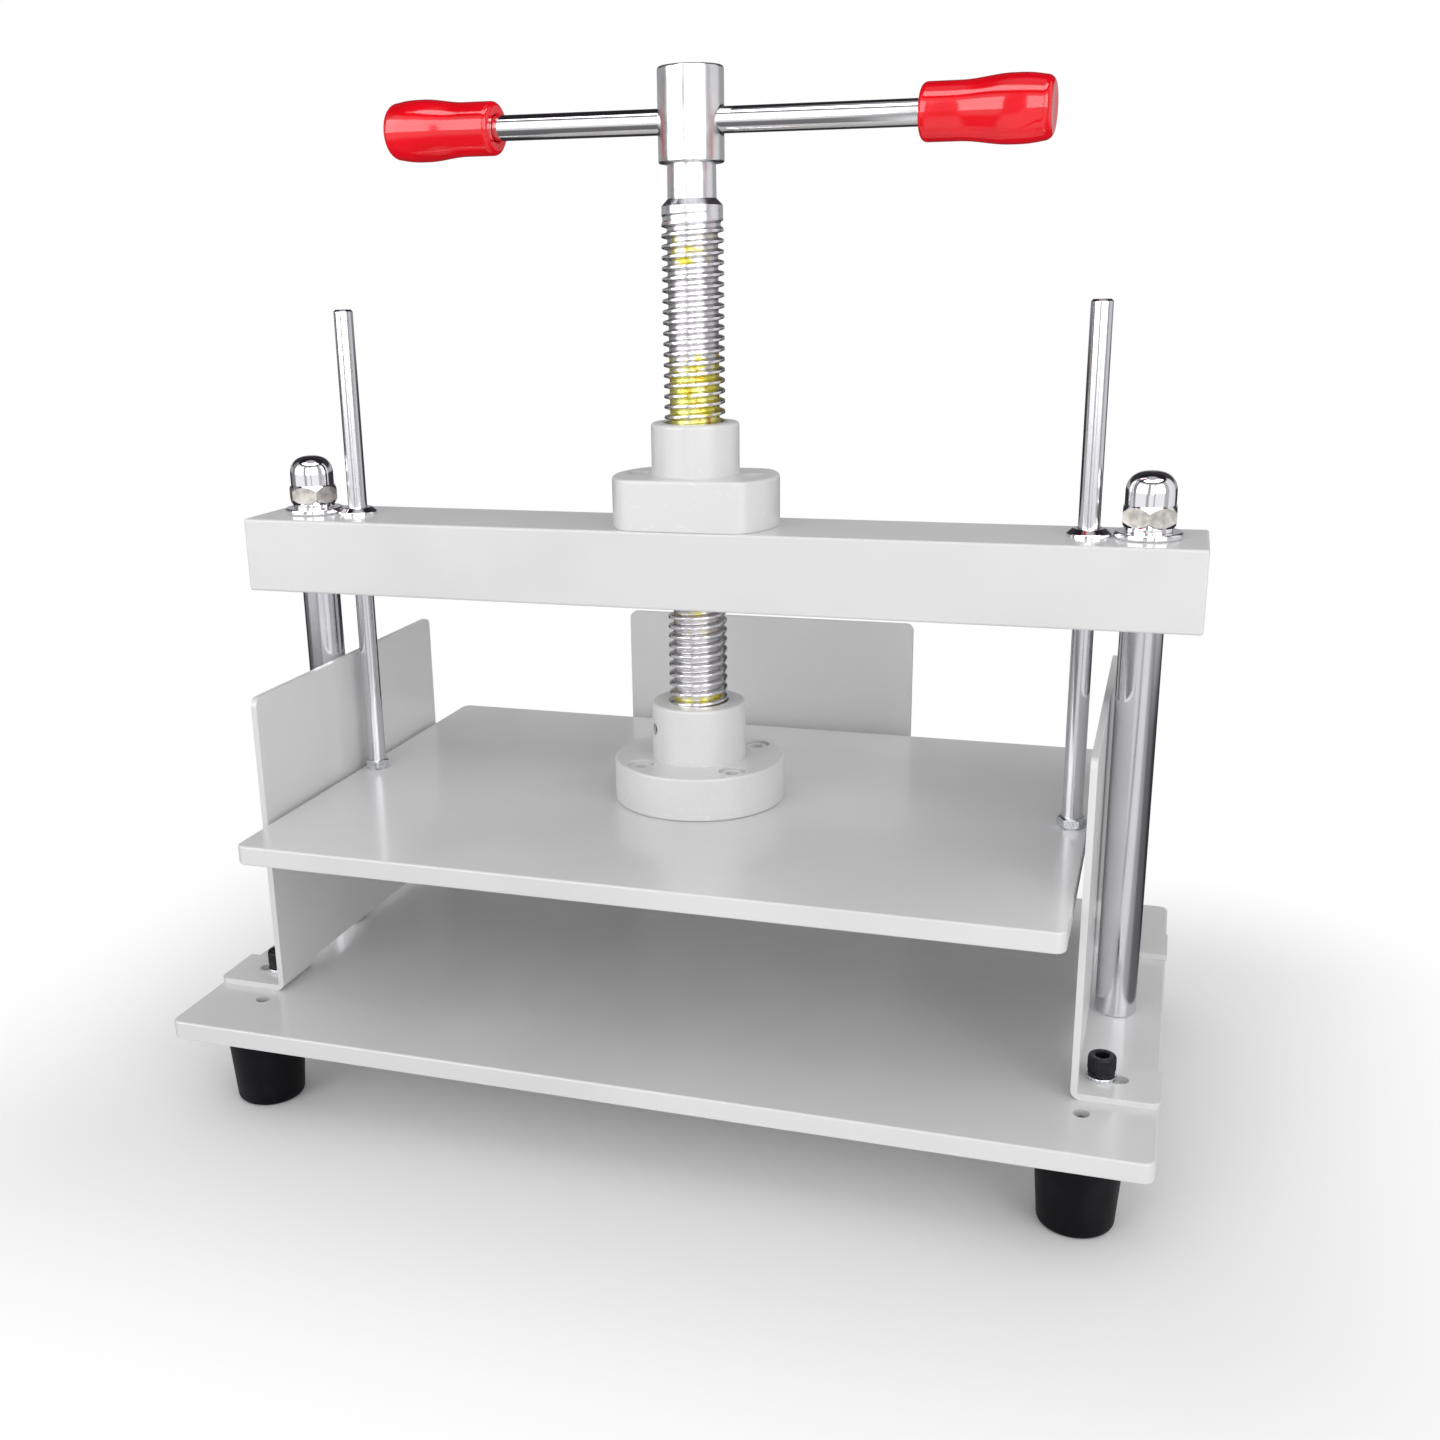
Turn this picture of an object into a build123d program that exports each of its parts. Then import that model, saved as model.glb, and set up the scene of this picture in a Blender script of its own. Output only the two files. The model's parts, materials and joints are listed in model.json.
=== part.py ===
from build123d import *
import math
import os

os.makedirs("parts", exist_ok=True)

# A manual screw press for books and paper. Millimetres, X to the right, Y to the back, Z up.
# The origin lies on the table, midway between the four feet and under the screw.

# Base and feet
base_width = 385
base_depth = 230
base_thickness = 8
base_corner = 4
foot_height = 35
foot_top_diameter = 32.5
foot_bottom_diameter = 27.5
foot_edge_round = 2
foot_recess_diameter = 16
foot_recess_depth = 16
foot_hole_clearance = 0.3
foot_x = 166.5
foot_y = 87
plate_edge_round = 0.9

# Columns and crossbeam
column_diameter = 16
column_x = 174
column_length = 160.5
column_tapped_depth = 18
stud_diameter = 12
stud_reach = 14
stud_chamfer = 1
beam_width = 391
beam_depth = 46
beam_height = 31
beam_edge_round = 1.1
beam_bore = 26
beam_tapped_depth = 16
bolt_clearance = 0.2

# Pressing plate, drawn where the photograph shows it
plate_width = 318
plate_depth = 214
plate_thickness = 8
plate_corner = 4
pressing_gap = 68.7

# Guide rods and their bushes in the crossbeam
rod_diameter = 8
rod_x = 152.7
rod_length = 195.8
rod_chamfer = 0.8
rod_thread = 6
rod_thread_gap = 0.5
rod_nut_across_flats = 10
rod_nut_height = 4
bush_diameter = 12
bush_flange_diameter = 17
bush_flange_height = 3
bush_flange_round = 1.6

# Screw thread
thread_pitch = 4
thread_major = 24
thread_minor = 19.5
thread_turns = 48
turns_in_one_length = 2
thread_clearance = 0.4

# Lead screw above and below its thread
journal_diameter = 20
journal_length = 31
journal_chamfer = 0.8
running_clearance = 0.05
groove_diameter = 15.2
groove_width = 4.6
groove_below_thread = 4
blank_diameter = 23.5
blank_length = 9
shoulder_length = 2.5
neck_diameter = 18.5
neck_length = 12.5
hub_diameter = 25
hub_length = 34
hub_lower_chamfer = 0.6
hub_upper_chamfer = 1

# Turning bar, set as the photograph shows it: a little askew in its hub and off its middle
bar_angle = math.radians(-2.6)
bar_tilt = math.radians(-0.84)
bar_slide = 3.3
bar_drop_from_hub_top = 19
bar_diameter = 9.5
bar_half_length = 125.4
bar_chamfer = 0.8
grip_start = 84.1
grip_length = 46.2
grip_mouth_radius = 9.2
grip_waist_radius = 10.1
grip_swell_radius = 11.7
grip_shoulder_radius = 10.6
grip_end_radius = 7.6

# Flanged screw nut on the crossbeam
nut_flange_diameter = 67
nut_flange_height = 20
nut_boss_diameter = 35
nut_boss_height = 20.5
nut_boss_round = 1.4
nut_spigot_diameter = 31.8
nut_spigot_depth = 5.5
spigot_clearance = 0.1
spigot_end_gap = 0.5
nut_thread_turns = 14
nut_thread_overrun = 2
nut_screw_x = 24.3
flange_edge_round = 1

# Thrust housing on the pressing plate
housing_flange_diameter = 71
housing_flange_height = 18
housing_boss_diameter = 39
housing_boss_height = 23.6
housing_boss_round = 1.2
housing_mouth_depth = 7.6
housing_screw_offset = 19.5
thrust_washer_thickness = 4
thrust_washer_diameter = 19.6
retainer_diameter = 5
retainer_tip_diameter = 3.4
retainer_gap = 0.4
retainer_sink = 1.2
retainer_key = 2.5
retainer_angle = math.radians(-143)

# Guards, bent and cut from sheet
sheet = 2.5
guard_gap = 2.8
guard_half_length = 78
guard_height = 128.5
guard_corner = 3.5
guard_notch_corner = 3
ear_edge_x = 193
ear_inner_y = 53
bend_radius = 1.2
guard_screw_x = 171.8
guard_screw_y = 63.3
slot_end_x = 178.4
slot_width = 6.6
guard_raise = 5
back_guard_half_width = 70
back_guard_screw_x = 45

# Fasteners
socket_screw_diameter = 6
socket_head_diameter = 10
socket_head_height = 6
socket_key = 5
screw_hole_clearance = 0.2
counterbore_diameter = 11
counterbore_depth = 7
flange_screw_length = 19
guard_screw_length = 12
foot_screw_length = 26
washer_bore = 6.4
guard_washer_diameter = 11
guard_washer_thickness = 1.6
foot_washer_diameter = 12
foot_washer_thickness = 1.6
lock_washer_thickness = 1.6
lock_washer_clearance = 0.1
lock_washer_slit = 0.8
column_bolt_diameter = 10
column_bolt_length = 25
column_bolt_across_flats = 16
column_bolt_head_height = 6.4
bolt_washer_diameter = 20
bolt_washer_bore = 10.4
bolt_washer_thickness = 2
column_washer_diameter = 25
column_washer_bore = 12.4
column_washer_thickness = 2.5
acorn_across_flats = 19
acorn_hex_height = 10
acorn_dome_diameter = 18
acorn_height = 22
acorn_bore_depth = 15
acorn_turns = (37, 1)
back_screw_diameter = 5
back_screw_head_diameter = 9.5
back_screw_head_height = 2.7
back_screw_length = 12
back_screw_key = 3
back_screw_hole_depth = 11
back_screw_clearance = 0.3

# Heights that follow from the sizes above
base_top = foot_height + base_thickness
beam_bottom = base_top + column_length
beam_top = beam_bottom + beam_height
plate_bottom = base_top + pressing_gap
plate_top = plate_bottom + plate_thickness
housing_top = plate_top + housing_flange_height + housing_boss_height
spindle_end = plate_top + thrust_washer_thickness
thread_start = spindle_end + journal_length
thread_end = thread_start + thread_turns * thread_pitch
shoulder_start = thread_end + blank_length
neck_start = shoulder_start + shoulder_length
hub_start = neck_start + neck_length
hub_top = hub_start + hub_length
groove_centre = thread_start - groove_below_thread
groove_lower = groove_centre - groove_width / 2
groove_upper = groove_centre + groove_width / 2
bar_height = hub_top - bar_drop_from_hub_top
nut_flange_top = beam_top + nut_flange_height
nut_top = nut_flange_top + nut_boss_height
guard_inner_x = plate_width / 2 + guard_gap
guard_outer_x = guard_inner_x + sheet
ear_top = base_top + sheet
guard_screw_seat = ear_top + guard_washer_thickness + lock_washer_thickness
foot_washer_seat = foot_recess_depth - foot_washer_thickness
bolt_washer_seat = foot_height - bolt_washer_thickness
back_screw_height = foot_height + base_thickness / 2
bar_direction = Vector(
    math.cos(bar_angle) * math.cos(bar_tilt), math.sin(bar_angle) * math.cos(bar_tilt), math.sin(bar_tilt)
)
bar_crossing = Vector(0, 0, bar_height)
bar_middle = bar_crossing + bar_slide * bar_direction

# Places of the repeated pieces
foot_places = [(x, y) for x in (-foot_x, foot_x) for y in (-foot_y, foot_y)]
column_places = [(-column_x, 0), (column_x, 0)]
rod_places = [(-rod_x, 0), (rod_x, 0)]
nut_screw_places = [(-nut_screw_x, 0), (nut_screw_x, 0)]
housing_screw_places = [
    (x, y)
    for x in (-housing_screw_offset, housing_screw_offset)
    for y in (-housing_screw_offset, housing_screw_offset)
]
guard_screw_places = [
    (x, y)
    for x in (-guard_screw_x, guard_screw_x)
    for y in (-guard_screw_y, guard_screw_y)
]


def at_height(places, z):
    """lift plan positions to one height"""
    return [(x, y, z) for x, y in places]


def threaded_rod(start, turns, growth):
    """right-hand knuckle thread: an off-centre circle twisted as it rises, in short equal lengths"""
    mean_radius = (thread_major + thread_minor) / 4
    throw = (thread_major - thread_minor) / 4
    turned = (start - thread_start) / thread_pitch * 2 * math.pi
    length = turns_in_one_length * thread_pitch
    with BuildPart() as rod:
        for step in range(turns // turns_in_one_length):
            foot = Vector(0, 0, start + step * length)
            with BuildSketch(Plane(foot)) as section:
                with Locations((throw * math.cos(turned), throw * math.sin(turned))):
                    Circle(mean_radius + growth)
            twist = 360 * turns_in_one_length
            rise = Vector(0, 0, length)
            add(Solid.extrude_linear_with_rotation(section.sketch.face(), foot, rise, twist))
    return rod.part


def socket_screw(diameter, head_diameter, head_height, length, key):
    """socket head screw with the underside of its head at z = 0"""
    with BuildPart() as screw:
        with BuildSketch():
            Circle(head_diameter / 2)
        extrude(amount=head_height)
        fillet(screw.edges().sort_by(Axis.Z)[-1], 0.06 * head_diameter)
        with BuildSketch(Plane.XY.offset(head_height)):
            RegularPolygon(key / 2, 6, major_radius=False)
        extrude(amount=-0.55 * head_height, mode=Mode.SUBTRACT)
        with BuildSketch():
            Circle(diameter / 2)
        extrude(amount=-length)
        chamfer(screw.edges().sort_by(Axis.Z)[0], 0.1 * diameter)
    return screw.part


def washer(outer_diameter, inner_diameter, thickness):
    """flat washer standing on z = 0"""
    with BuildPart() as ring:
        with BuildSketch():
            Circle(outer_diameter / 2)
            Circle(inner_diameter / 2, mode=Mode.SUBTRACT)
        extrude(amount=thickness)
        fillet(ring.edges().group_by(Axis.Z)[-1].sort_by(SortBy.LENGTH)[-1], 0.15 * thickness)
    return ring.part


def hexagon_nut(across_flats, height, bore_diameter):
    """hexagon nut on z = 0, its corners turned down at the top"""
    corner = across_flats / math.sqrt(3)
    turned_down = 0.084 * across_flats
    with BuildPart() as nut:
        with BuildSketch():
            RegularPolygon(across_flats / 2, 6, major_radius=False)
            Circle(bore_diameter / 2, mode=Mode.SUBTRACT)
        extrude(amount=height)
        with BuildSketch(Plane.XZ):
            with BuildLine():
                Polyline(
                    (0, 0),
                    (corner, 0),
                    (corner, height - turned_down),
                    (0.48 * across_flats, height),
                    (0, height),
                    close=True,
                )
            make_face()
        revolve(axis=Axis.Z, mode=Mode.INTERSECT)
    return nut.part


# Pieces made once and placed several times
socket_sizes = (socket_screw_diameter, socket_head_diameter, socket_head_height)
flange_screw = socket_screw(*socket_sizes, flange_screw_length, socket_key)
guard_screw = socket_screw(*socket_sizes, guard_screw_length, socket_key)
foot_screw = socket_screw(*socket_sizes, foot_screw_length, socket_key)
back_screw = socket_screw(
    back_screw_diameter, back_screw_head_diameter, back_screw_head_height, back_screw_length, back_screw_key
)
foot_washer = washer(foot_washer_diameter, washer_bore, foot_washer_thickness)
guard_washer = washer(guard_washer_diameter, washer_bore, guard_washer_thickness)
column_washer = washer(column_washer_diameter, column_washer_bore, column_washer_thickness)
bolt_washer = washer(bolt_washer_diameter, bolt_washer_bore, bolt_washer_thickness)
rod_nut = hexagon_nut(rod_nut_across_flats, rod_nut_height, rod_thread)

# Base plate
with BuildPart() as base_plate:
    with BuildSketch(Plane.XY.offset(foot_height)):
        RectangleRounded(base_width, base_depth, base_corner)
    extrude(amount=base_thickness)
    fillet(base_plate.faces().filter_by(Axis.Z).edges(), plate_edge_round)
    with Locations(*at_height(foot_places + guard_screw_places, base_top)):
        Hole(socket_screw_diameter / 2)
    with Locations(*at_height(column_places, base_top)):
        Hole(column_bolt_diameter / 2 + bolt_clearance)
    for x in (-back_guard_screw_x, back_guard_screw_x):
        with BuildSketch(Plane((x, base_depth / 2, back_screw_height), z_dir=(0, 1, 0))):
            Circle(back_screw_diameter / 2)
        extrude(amount=-back_screw_hole_depth, mode=Mode.SUBTRACT)

# Rubber foot, one profile turned and set at the four corners
foot_hole_radius = socket_screw_diameter / 2 + foot_hole_clearance
with BuildPart() as rubber_foot:
    with BuildSketch(Plane.XZ):
        with BuildLine():
            Polyline(
                (foot_recess_diameter / 2, 0),
                (foot_bottom_diameter / 2, 0),
                (foot_top_diameter / 2, foot_height),
                (foot_hole_radius, foot_height),
                (foot_hole_radius, foot_recess_depth),
                (foot_recess_diameter / 2, foot_recess_depth),
                close=True,
            )
        make_face()
    revolve(axis=Axis.Z)
    rim = rubber_foot.edges().group_by(Axis.Z)[0].sort_by(SortBy.LENGTH)[-1]
    fillet(rim, foot_edge_round)

with BuildPart() as rubber_feet:
    with Locations(*at_height(foot_places, 0)):
        add(rubber_foot.part)

with BuildPart() as foot_washers:
    with Locations(*at_height(foot_places, foot_washer_seat)):
        add(foot_washer)

# The foot screws point upwards, so each one is turned over
with BuildPart() as foot_screws:
    for x, y in foot_places:
        with Locations(Location((x, y, foot_washer_seat), (180, 0, 0))):
            add(foot_screw)

# Column: ground bar with a stud on top and a tapped hole below
with BuildPart() as column:
    with BuildSketch(Plane.XY.offset(base_top)):
        Circle(column_diameter / 2)
    extrude(amount=column_length)
    with BuildSketch(Plane.XY.offset(beam_bottom)):
        Circle(stud_diameter / 2)
    extrude(amount=beam_height + column_washer_thickness + stud_reach)
    chamfer(column.edges().sort_by(Axis.Z)[-1], stud_chamfer)
    with BuildSketch(Plane.XY.offset(base_top)):
        Circle(column_bolt_diameter / 2)
    extrude(amount=column_tapped_depth, mode=Mode.SUBTRACT)

with BuildPart() as left_column:
    with Locations((-column_x, 0, 0)):
        add(column.part)

with BuildPart() as right_column:
    with Locations((column_x, 0, 0)):
        add(column.part)

with BuildPart() as column_bolt_washers:
    with Locations(*at_height(column_places, bolt_washer_seat)):
        add(bolt_washer)

with BuildPart() as column_bolts:
    for x, y in column_places:
        with BuildSketch(Plane((x, y, bolt_washer_seat))):
            RegularPolygon(column_bolt_across_flats / 2, 6, major_radius=False)
        extrude(amount=-column_bolt_head_height)
        with BuildSketch(Plane((x, y, bolt_washer_seat))):
            Circle(column_bolt_diameter / 2)
        extrude(amount=column_bolt_length)

# Crossbeam
with BuildPart() as crossbeam:
    with BuildSketch(Plane.XY.offset(beam_bottom)):
        Rectangle(beam_width, beam_depth)
    extrude(amount=beam_height)
    fillet(crossbeam.edges(), beam_edge_round)
    with Locations(*at_height(column_places, beam_top)):
        Hole(stud_diameter / 2 + bolt_clearance)
    with Locations(*at_height(rod_places, beam_top)):
        Hole(bush_diameter / 2)
    with Locations((0, 0, beam_top)):
        CounterBoreHole(
            beam_bore / 2,
            nut_spigot_diameter / 2 + spigot_clearance,
            nut_spigot_depth + spigot_end_gap,
        )
    with Locations(*at_height(nut_screw_places, beam_top)):
        Hole(socket_screw_diameter / 2, depth=beam_tapped_depth)

with BuildPart() as column_washers:
    with Locations(*at_height(column_places, beam_top)):
        add(column_washer)

# Acorn nut: chamfered hexagon, short collar and dome over a blind bore
acorn_collar = acorn_height - acorn_hex_height - acorn_dome_diameter / 2
acorn_hexagon = hexagon_nut(acorn_across_flats, acorn_hex_height, stud_diameter)
with BuildPart() as acorn_nut:
    with BuildSketch(Plane.XZ):
        with BuildLine():
            foot_line = Line((0, 0), (acorn_dome_diameter / 2, 0))
            side_line = Line(foot_line @ 1, (acorn_dome_diameter / 2, acorn_hex_height + acorn_collar))
            dome_line = RadiusArc(side_line @ 1, (0, acorn_height), -acorn_dome_diameter / 2)
            Line(dome_line @ 1, foot_line @ 0)
        make_face()
    revolve(axis=Axis.Z)
    add(acorn_hexagon)
    with BuildSketch():
        Circle(stud_diameter / 2)
    extrude(amount=acorn_bore_depth, mode=Mode.SUBTRACT)

with BuildPart() as acorn_nuts:
    for turn, (x, y) in zip(acorn_turns, column_places):
        with Locations(Location((x, y, beam_top + column_washer_thickness), (0, 0, turn))):
            add(acorn_nut.part)

# Guide bush: flanged sleeve pressed into the crossbeam
with BuildPart() as guide_bush:
    with BuildSketch(Plane.XY.offset(beam_bottom)):
        Circle(bush_diameter / 2)
    extrude(amount=beam_height)
    with BuildSketch(Plane.XY.offset(beam_top)):
        Circle(bush_flange_diameter / 2)
    extrude(amount=bush_flange_height)
    fillet(guide_bush.edges().sort_by(Axis.Z)[-1], bush_flange_round)
    with Locations((0, 0, beam_top + bush_flange_height)):
        Hole(rod_diameter / 2 + running_clearance)

with BuildPart() as left_guide_bush:
    with Locations((-rod_x, 0, 0)):
        add(guide_bush.part)

with BuildPart() as right_guide_bush:
    with Locations((rod_x, 0, 0)):
        add(guide_bush.part)

# Screw nut: flange ground flat front and back, boss, locating spigot, internal thread
flange_hole_radius = socket_screw_diameter / 2 + screw_hole_clearance
nut_thread_start = beam_top - nut_spigot_depth - nut_thread_overrun
nut_thread = threaded_rod(nut_thread_start, nut_thread_turns, thread_clearance)
with BuildPart() as screw_nut:
    with BuildSketch(Plane.XY.offset(beam_top)):
        Circle(nut_flange_diameter / 2)
        Rectangle(nut_flange_diameter, beam_depth, mode=Mode.INTERSECT)
    extrude(amount=nut_flange_height)
    fillet(screw_nut.edges(), flange_edge_round)
    with BuildSketch(Plane.XY.offset(nut_flange_top)):
        Circle(nut_boss_diameter / 2)
    extrude(amount=nut_boss_height)
    fillet(screw_nut.edges().sort_by(Axis.Z)[-1], nut_boss_round)
    with BuildSketch(Plane.XY.offset(beam_top)):
        Circle(nut_spigot_diameter / 2)
    extrude(amount=-nut_spigot_depth)
    add(nut_thread, mode=Mode.SUBTRACT)
    with Locations(*at_height(nut_screw_places, nut_flange_top)):
        CounterBoreHole(flange_hole_radius, counterbore_diameter / 2, counterbore_depth)

with BuildPart() as nut_screws:
    with Locations(*at_height(nut_screw_places, nut_flange_top - counterbore_depth)):
        add(flange_screw)

# Side guard: sheet bent outwards into a foot, cut away in the middle to pass the column
with BuildPart() as right_guard:
    with BuildSketch(Plane.XZ) as guard_profile:
        with BuildLine():
            Polyline(
                (guard_inner_x, base_top),
                (ear_edge_x, base_top),
                (ear_edge_x, ear_top),
                (guard_outer_x, ear_top),
                (guard_outer_x, base_top + guard_height),
                (guard_inner_x, base_top + guard_height),
                close=True,
            )
        make_face()
        outer_bend = guard_profile.vertices().sort_by_distance((guard_inner_x, 0, base_top))[0]
        inner_bend = guard_profile.vertices().sort_by_distance((guard_outer_x, 0, ear_top))[0]
        fillet(outer_bend, bend_radius + sheet)
        fillet(inner_bend, bend_radius)
    extrude(amount=guard_half_length, both=True)
    guard_top = right_guard.edges().filter_by(Axis.X).group_by(Axis.Z)[-1]
    fillet(guard_top, guard_corner)
    ear_corners = right_guard.edges().filter_by(Axis.Z).group_by(Axis.X)[-1]
    fillet(ear_corners, guard_corner)
    with BuildSketch(Plane.XY.offset(base_top)):
        with Locations((ear_edge_x, 0)):
            RectangleRounded(2 * (ear_edge_x - guard_inner_x), 2 * ear_inner_y, guard_notch_corner)
    extrude(amount=guard_raise, mode=Mode.SUBTRACT)
    for y in (-guard_screw_y, guard_screw_y):
        with BuildSketch(Plane.XY.offset(base_top)):
            with Locations(((guard_screw_x + slot_end_x) / 2, y)):
                SlotCenterToCenter(slot_end_x - guard_screw_x, slot_width)
        extrude(amount=sheet, mode=Mode.SUBTRACT)

with BuildPart() as left_guard:
    mirror(right_guard.part, about=Plane.YZ)

# Back guard: flat sheet screwed to the back edge of the base plate
with BuildPart() as back_guard:
    with BuildSketch(Plane((0, base_depth / 2, foot_height), x_dir=(1, 0, 0), z_dir=(0, -1, 0))):
        with Locations((0, (base_thickness + guard_height) / 2)):
            Rectangle(2 * back_guard_half_width, base_thickness + guard_height)
        with Locations((-back_guard_screw_x, base_thickness / 2), (back_guard_screw_x, base_thickness / 2)):
            Circle(back_screw_diameter / 2 + back_screw_clearance, mode=Mode.SUBTRACT)
    extrude(amount=-sheet)
    fillet(back_guard.edges().filter_by(Axis.Y).group_by(Axis.Z)[-1], guard_corner)

with BuildPart() as back_guard_screws:
    for x in (-back_guard_screw_x, back_guard_screw_x):
        with Locations(Location((x, base_depth / 2 + sheet, back_screw_height), (-90, 0, 0))):
            add(back_screw)

# Guard fasteners: flat washer, lock washer and socket screw in each slot
with BuildPart() as guard_flat_washers:
    with Locations(*at_height(guard_screw_places, ear_top)):
        add(guard_washer)

with BuildPart() as guard_lock_washers:
    for x, y in guard_screw_places:
        with BuildSketch(Plane((x, y, ear_top + guard_washer_thickness))):
            Circle(socket_head_diameter / 2 - lock_washer_clearance)
            Circle(socket_screw_diameter / 2 + lock_washer_clearance, mode=Mode.SUBTRACT)
            with Locations((socket_head_diameter / 2, 0)):
                Rectangle(socket_head_diameter, lock_washer_slit, mode=Mode.SUBTRACT)
        extrude(amount=lock_washer_thickness)

with BuildPart() as guard_screws:
    with Locations(*at_height(guard_screw_places, guard_screw_seat)):
        add(guard_screw)

# Pressing plate
with BuildPart() as pressing_plate:
    with BuildSketch(Plane.XY.offset(plate_bottom)):
        RectangleRounded(plate_width, plate_depth, plate_corner)
    extrude(amount=plate_thickness)
    fillet(pressing_plate.faces().filter_by(Axis.Z).edges(), plate_edge_round)
    with Locations(*at_height(rod_places, plate_top)):
        Hole(rod_thread / 2)
    with Locations(*at_height(housing_screw_places, plate_top)):
        Hole(socket_screw_diameter / 2)

# Thrust housing: flange and boss over the journal, stepped bore, side hole for the retainer
retainer_direction = (math.cos(retainer_angle), math.sin(retainer_angle), 0)
retainer_plane = Plane((0, 0, groove_centre), z_dir=retainer_direction)
with BuildPart() as thrust_housing:
    with BuildSketch(Plane.XY.offset(plate_top)):
        Circle(housing_flange_diameter / 2)
    extrude(amount=housing_flange_height)
    fillet(thrust_housing.edges(), flange_edge_round)
    with BuildSketch(Plane.XY.offset(plate_top + housing_flange_height)):
        Circle(housing_boss_diameter / 2)
    extrude(amount=housing_boss_height)
    fillet(thrust_housing.edges().sort_by(Axis.Z)[-1], housing_boss_round)
    with Locations((0, 0, housing_top)):
        CounterBoreHole(
            journal_diameter / 2 + running_clearance,
            thread_major / 2 + thread_clearance,
            housing_mouth_depth,
        )
    with Locations(*at_height(housing_screw_places, plate_top + housing_flange_height)):
        CounterBoreHole(flange_hole_radius, counterbore_diameter / 2, counterbore_depth)
    with BuildSketch(retainer_plane):
        Circle(retainer_diameter / 2)
    extrude(amount=housing_boss_diameter, mode=Mode.SUBTRACT)

with BuildPart() as housing_screws:
    with Locations(*at_height(housing_screw_places, plate_top + housing_flange_height - counterbore_depth)):
        add(flange_screw)

# Bronze washer that takes the pressing load under the end of the screw
with BuildPart() as thrust_washer:
    with BuildSketch(Plane.XY.offset(plate_top)):
        Circle(thrust_washer_diameter / 2)
    extrude(amount=thrust_washer_thickness)

# Grub screw whose tip runs in the groove of the journal and lifts the plate
retainer_tip_reach = groove_diameter / 2 + retainer_gap
retainer_body_start = journal_diameter / 2 + retainer_gap
retainer_end = housing_boss_diameter / 2 - retainer_sink
with BuildPart() as retaining_screw:
    with BuildSketch(retainer_plane.offset(retainer_tip_reach)):
        Circle(retainer_tip_diameter / 2)
    extrude(amount=retainer_end - retainer_tip_reach)
    with BuildSketch(retainer_plane.offset(retainer_body_start)):
        Circle(retainer_diameter / 2)
    extrude(amount=retainer_end - retainer_body_start)
    with BuildSketch(retainer_plane.offset(retainer_end)):
        RegularPolygon(retainer_key / 2, 6, major_radius=False)
    extrude(amount=-retainer_key, mode=Mode.SUBTRACT)

# Guide rod: ground bar with a threaded end in the pressing plate
with BuildPart() as guide_rod:
    with BuildSketch(Plane.XY.offset(plate_top + rod_nut_height)):
        Circle(rod_diameter / 2)
    extrude(amount=rod_length)
    chamfer(guide_rod.edges().sort_by(Axis.Z)[-1], rod_chamfer)
    with BuildSketch(Plane.XY.offset(plate_top + rod_nut_height)):
        Circle(rod_thread / 2)
    extrude(amount=rod_thread_gap - rod_nut_height - plate_thickness)

with BuildPart() as left_guide_rod:
    with Locations((-rod_x, 0, 0)):
        add(guide_rod.part)

with BuildPart() as right_guide_rod:
    with Locations((rod_x, 0, 0)):
        add(guide_rod.part)

with BuildPart() as rod_lock_nuts:
    with Locations(*at_height(rod_places, plate_top)):
        add(rod_nut)

# Lead screw: grooved journal, thread, plain blank, shoulder, neck and cross-drilled hub
screw_thread = threaded_rod(thread_start, thread_turns, 0)
with BuildPart() as lead_screw:
    with BuildSketch(Plane.XZ):
        with BuildLine():
            Polyline(
                (0, spindle_end),
                (journal_diameter / 2 - journal_chamfer, spindle_end),
                (journal_diameter / 2, spindle_end + journal_chamfer),
                (journal_diameter / 2, groove_lower),
                (groove_diameter / 2, groove_lower),
                (groove_diameter / 2, groove_upper),
                (thread_minor / 2 - running_clearance, groove_upper),
                (thread_minor / 2 - running_clearance, thread_start),
                (0, thread_start),
                close=True,
            )
        make_face()
    revolve(axis=Axis.Z)
    add(screw_thread)
    with BuildSketch(Plane.XZ):
        with BuildLine():
            Polyline(
                (0, thread_end),
                (blank_diameter / 2, thread_end),
                (blank_diameter / 2, shoulder_start),
                (neck_diameter / 2, neck_start),
                (neck_diameter / 2, hub_start),
                (hub_diameter / 2 - hub_lower_chamfer, hub_start),
                (hub_diameter / 2, hub_start + hub_lower_chamfer),
                (hub_diameter / 2, hub_top - hub_upper_chamfer),
                (hub_diameter / 2 - hub_upper_chamfer, hub_top),
                (0, hub_top),
                close=True,
            )
        make_face()
    revolve(axis=Axis.Z)
    with BuildSketch(Plane(bar_crossing, z_dir=bar_direction)):
        Circle(bar_diameter / 2)
    extrude(amount=hub_diameter, both=True, mode=Mode.SUBTRACT)

# Turning bar
with BuildPart() as turning_bar:
    with BuildSketch(Plane(bar_middle, z_dir=bar_direction)):
        Circle(bar_diameter / 2)
    extrude(amount=bar_half_length, both=True)
    chamfer(turning_bar.edges(), bar_chamfer)


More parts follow.
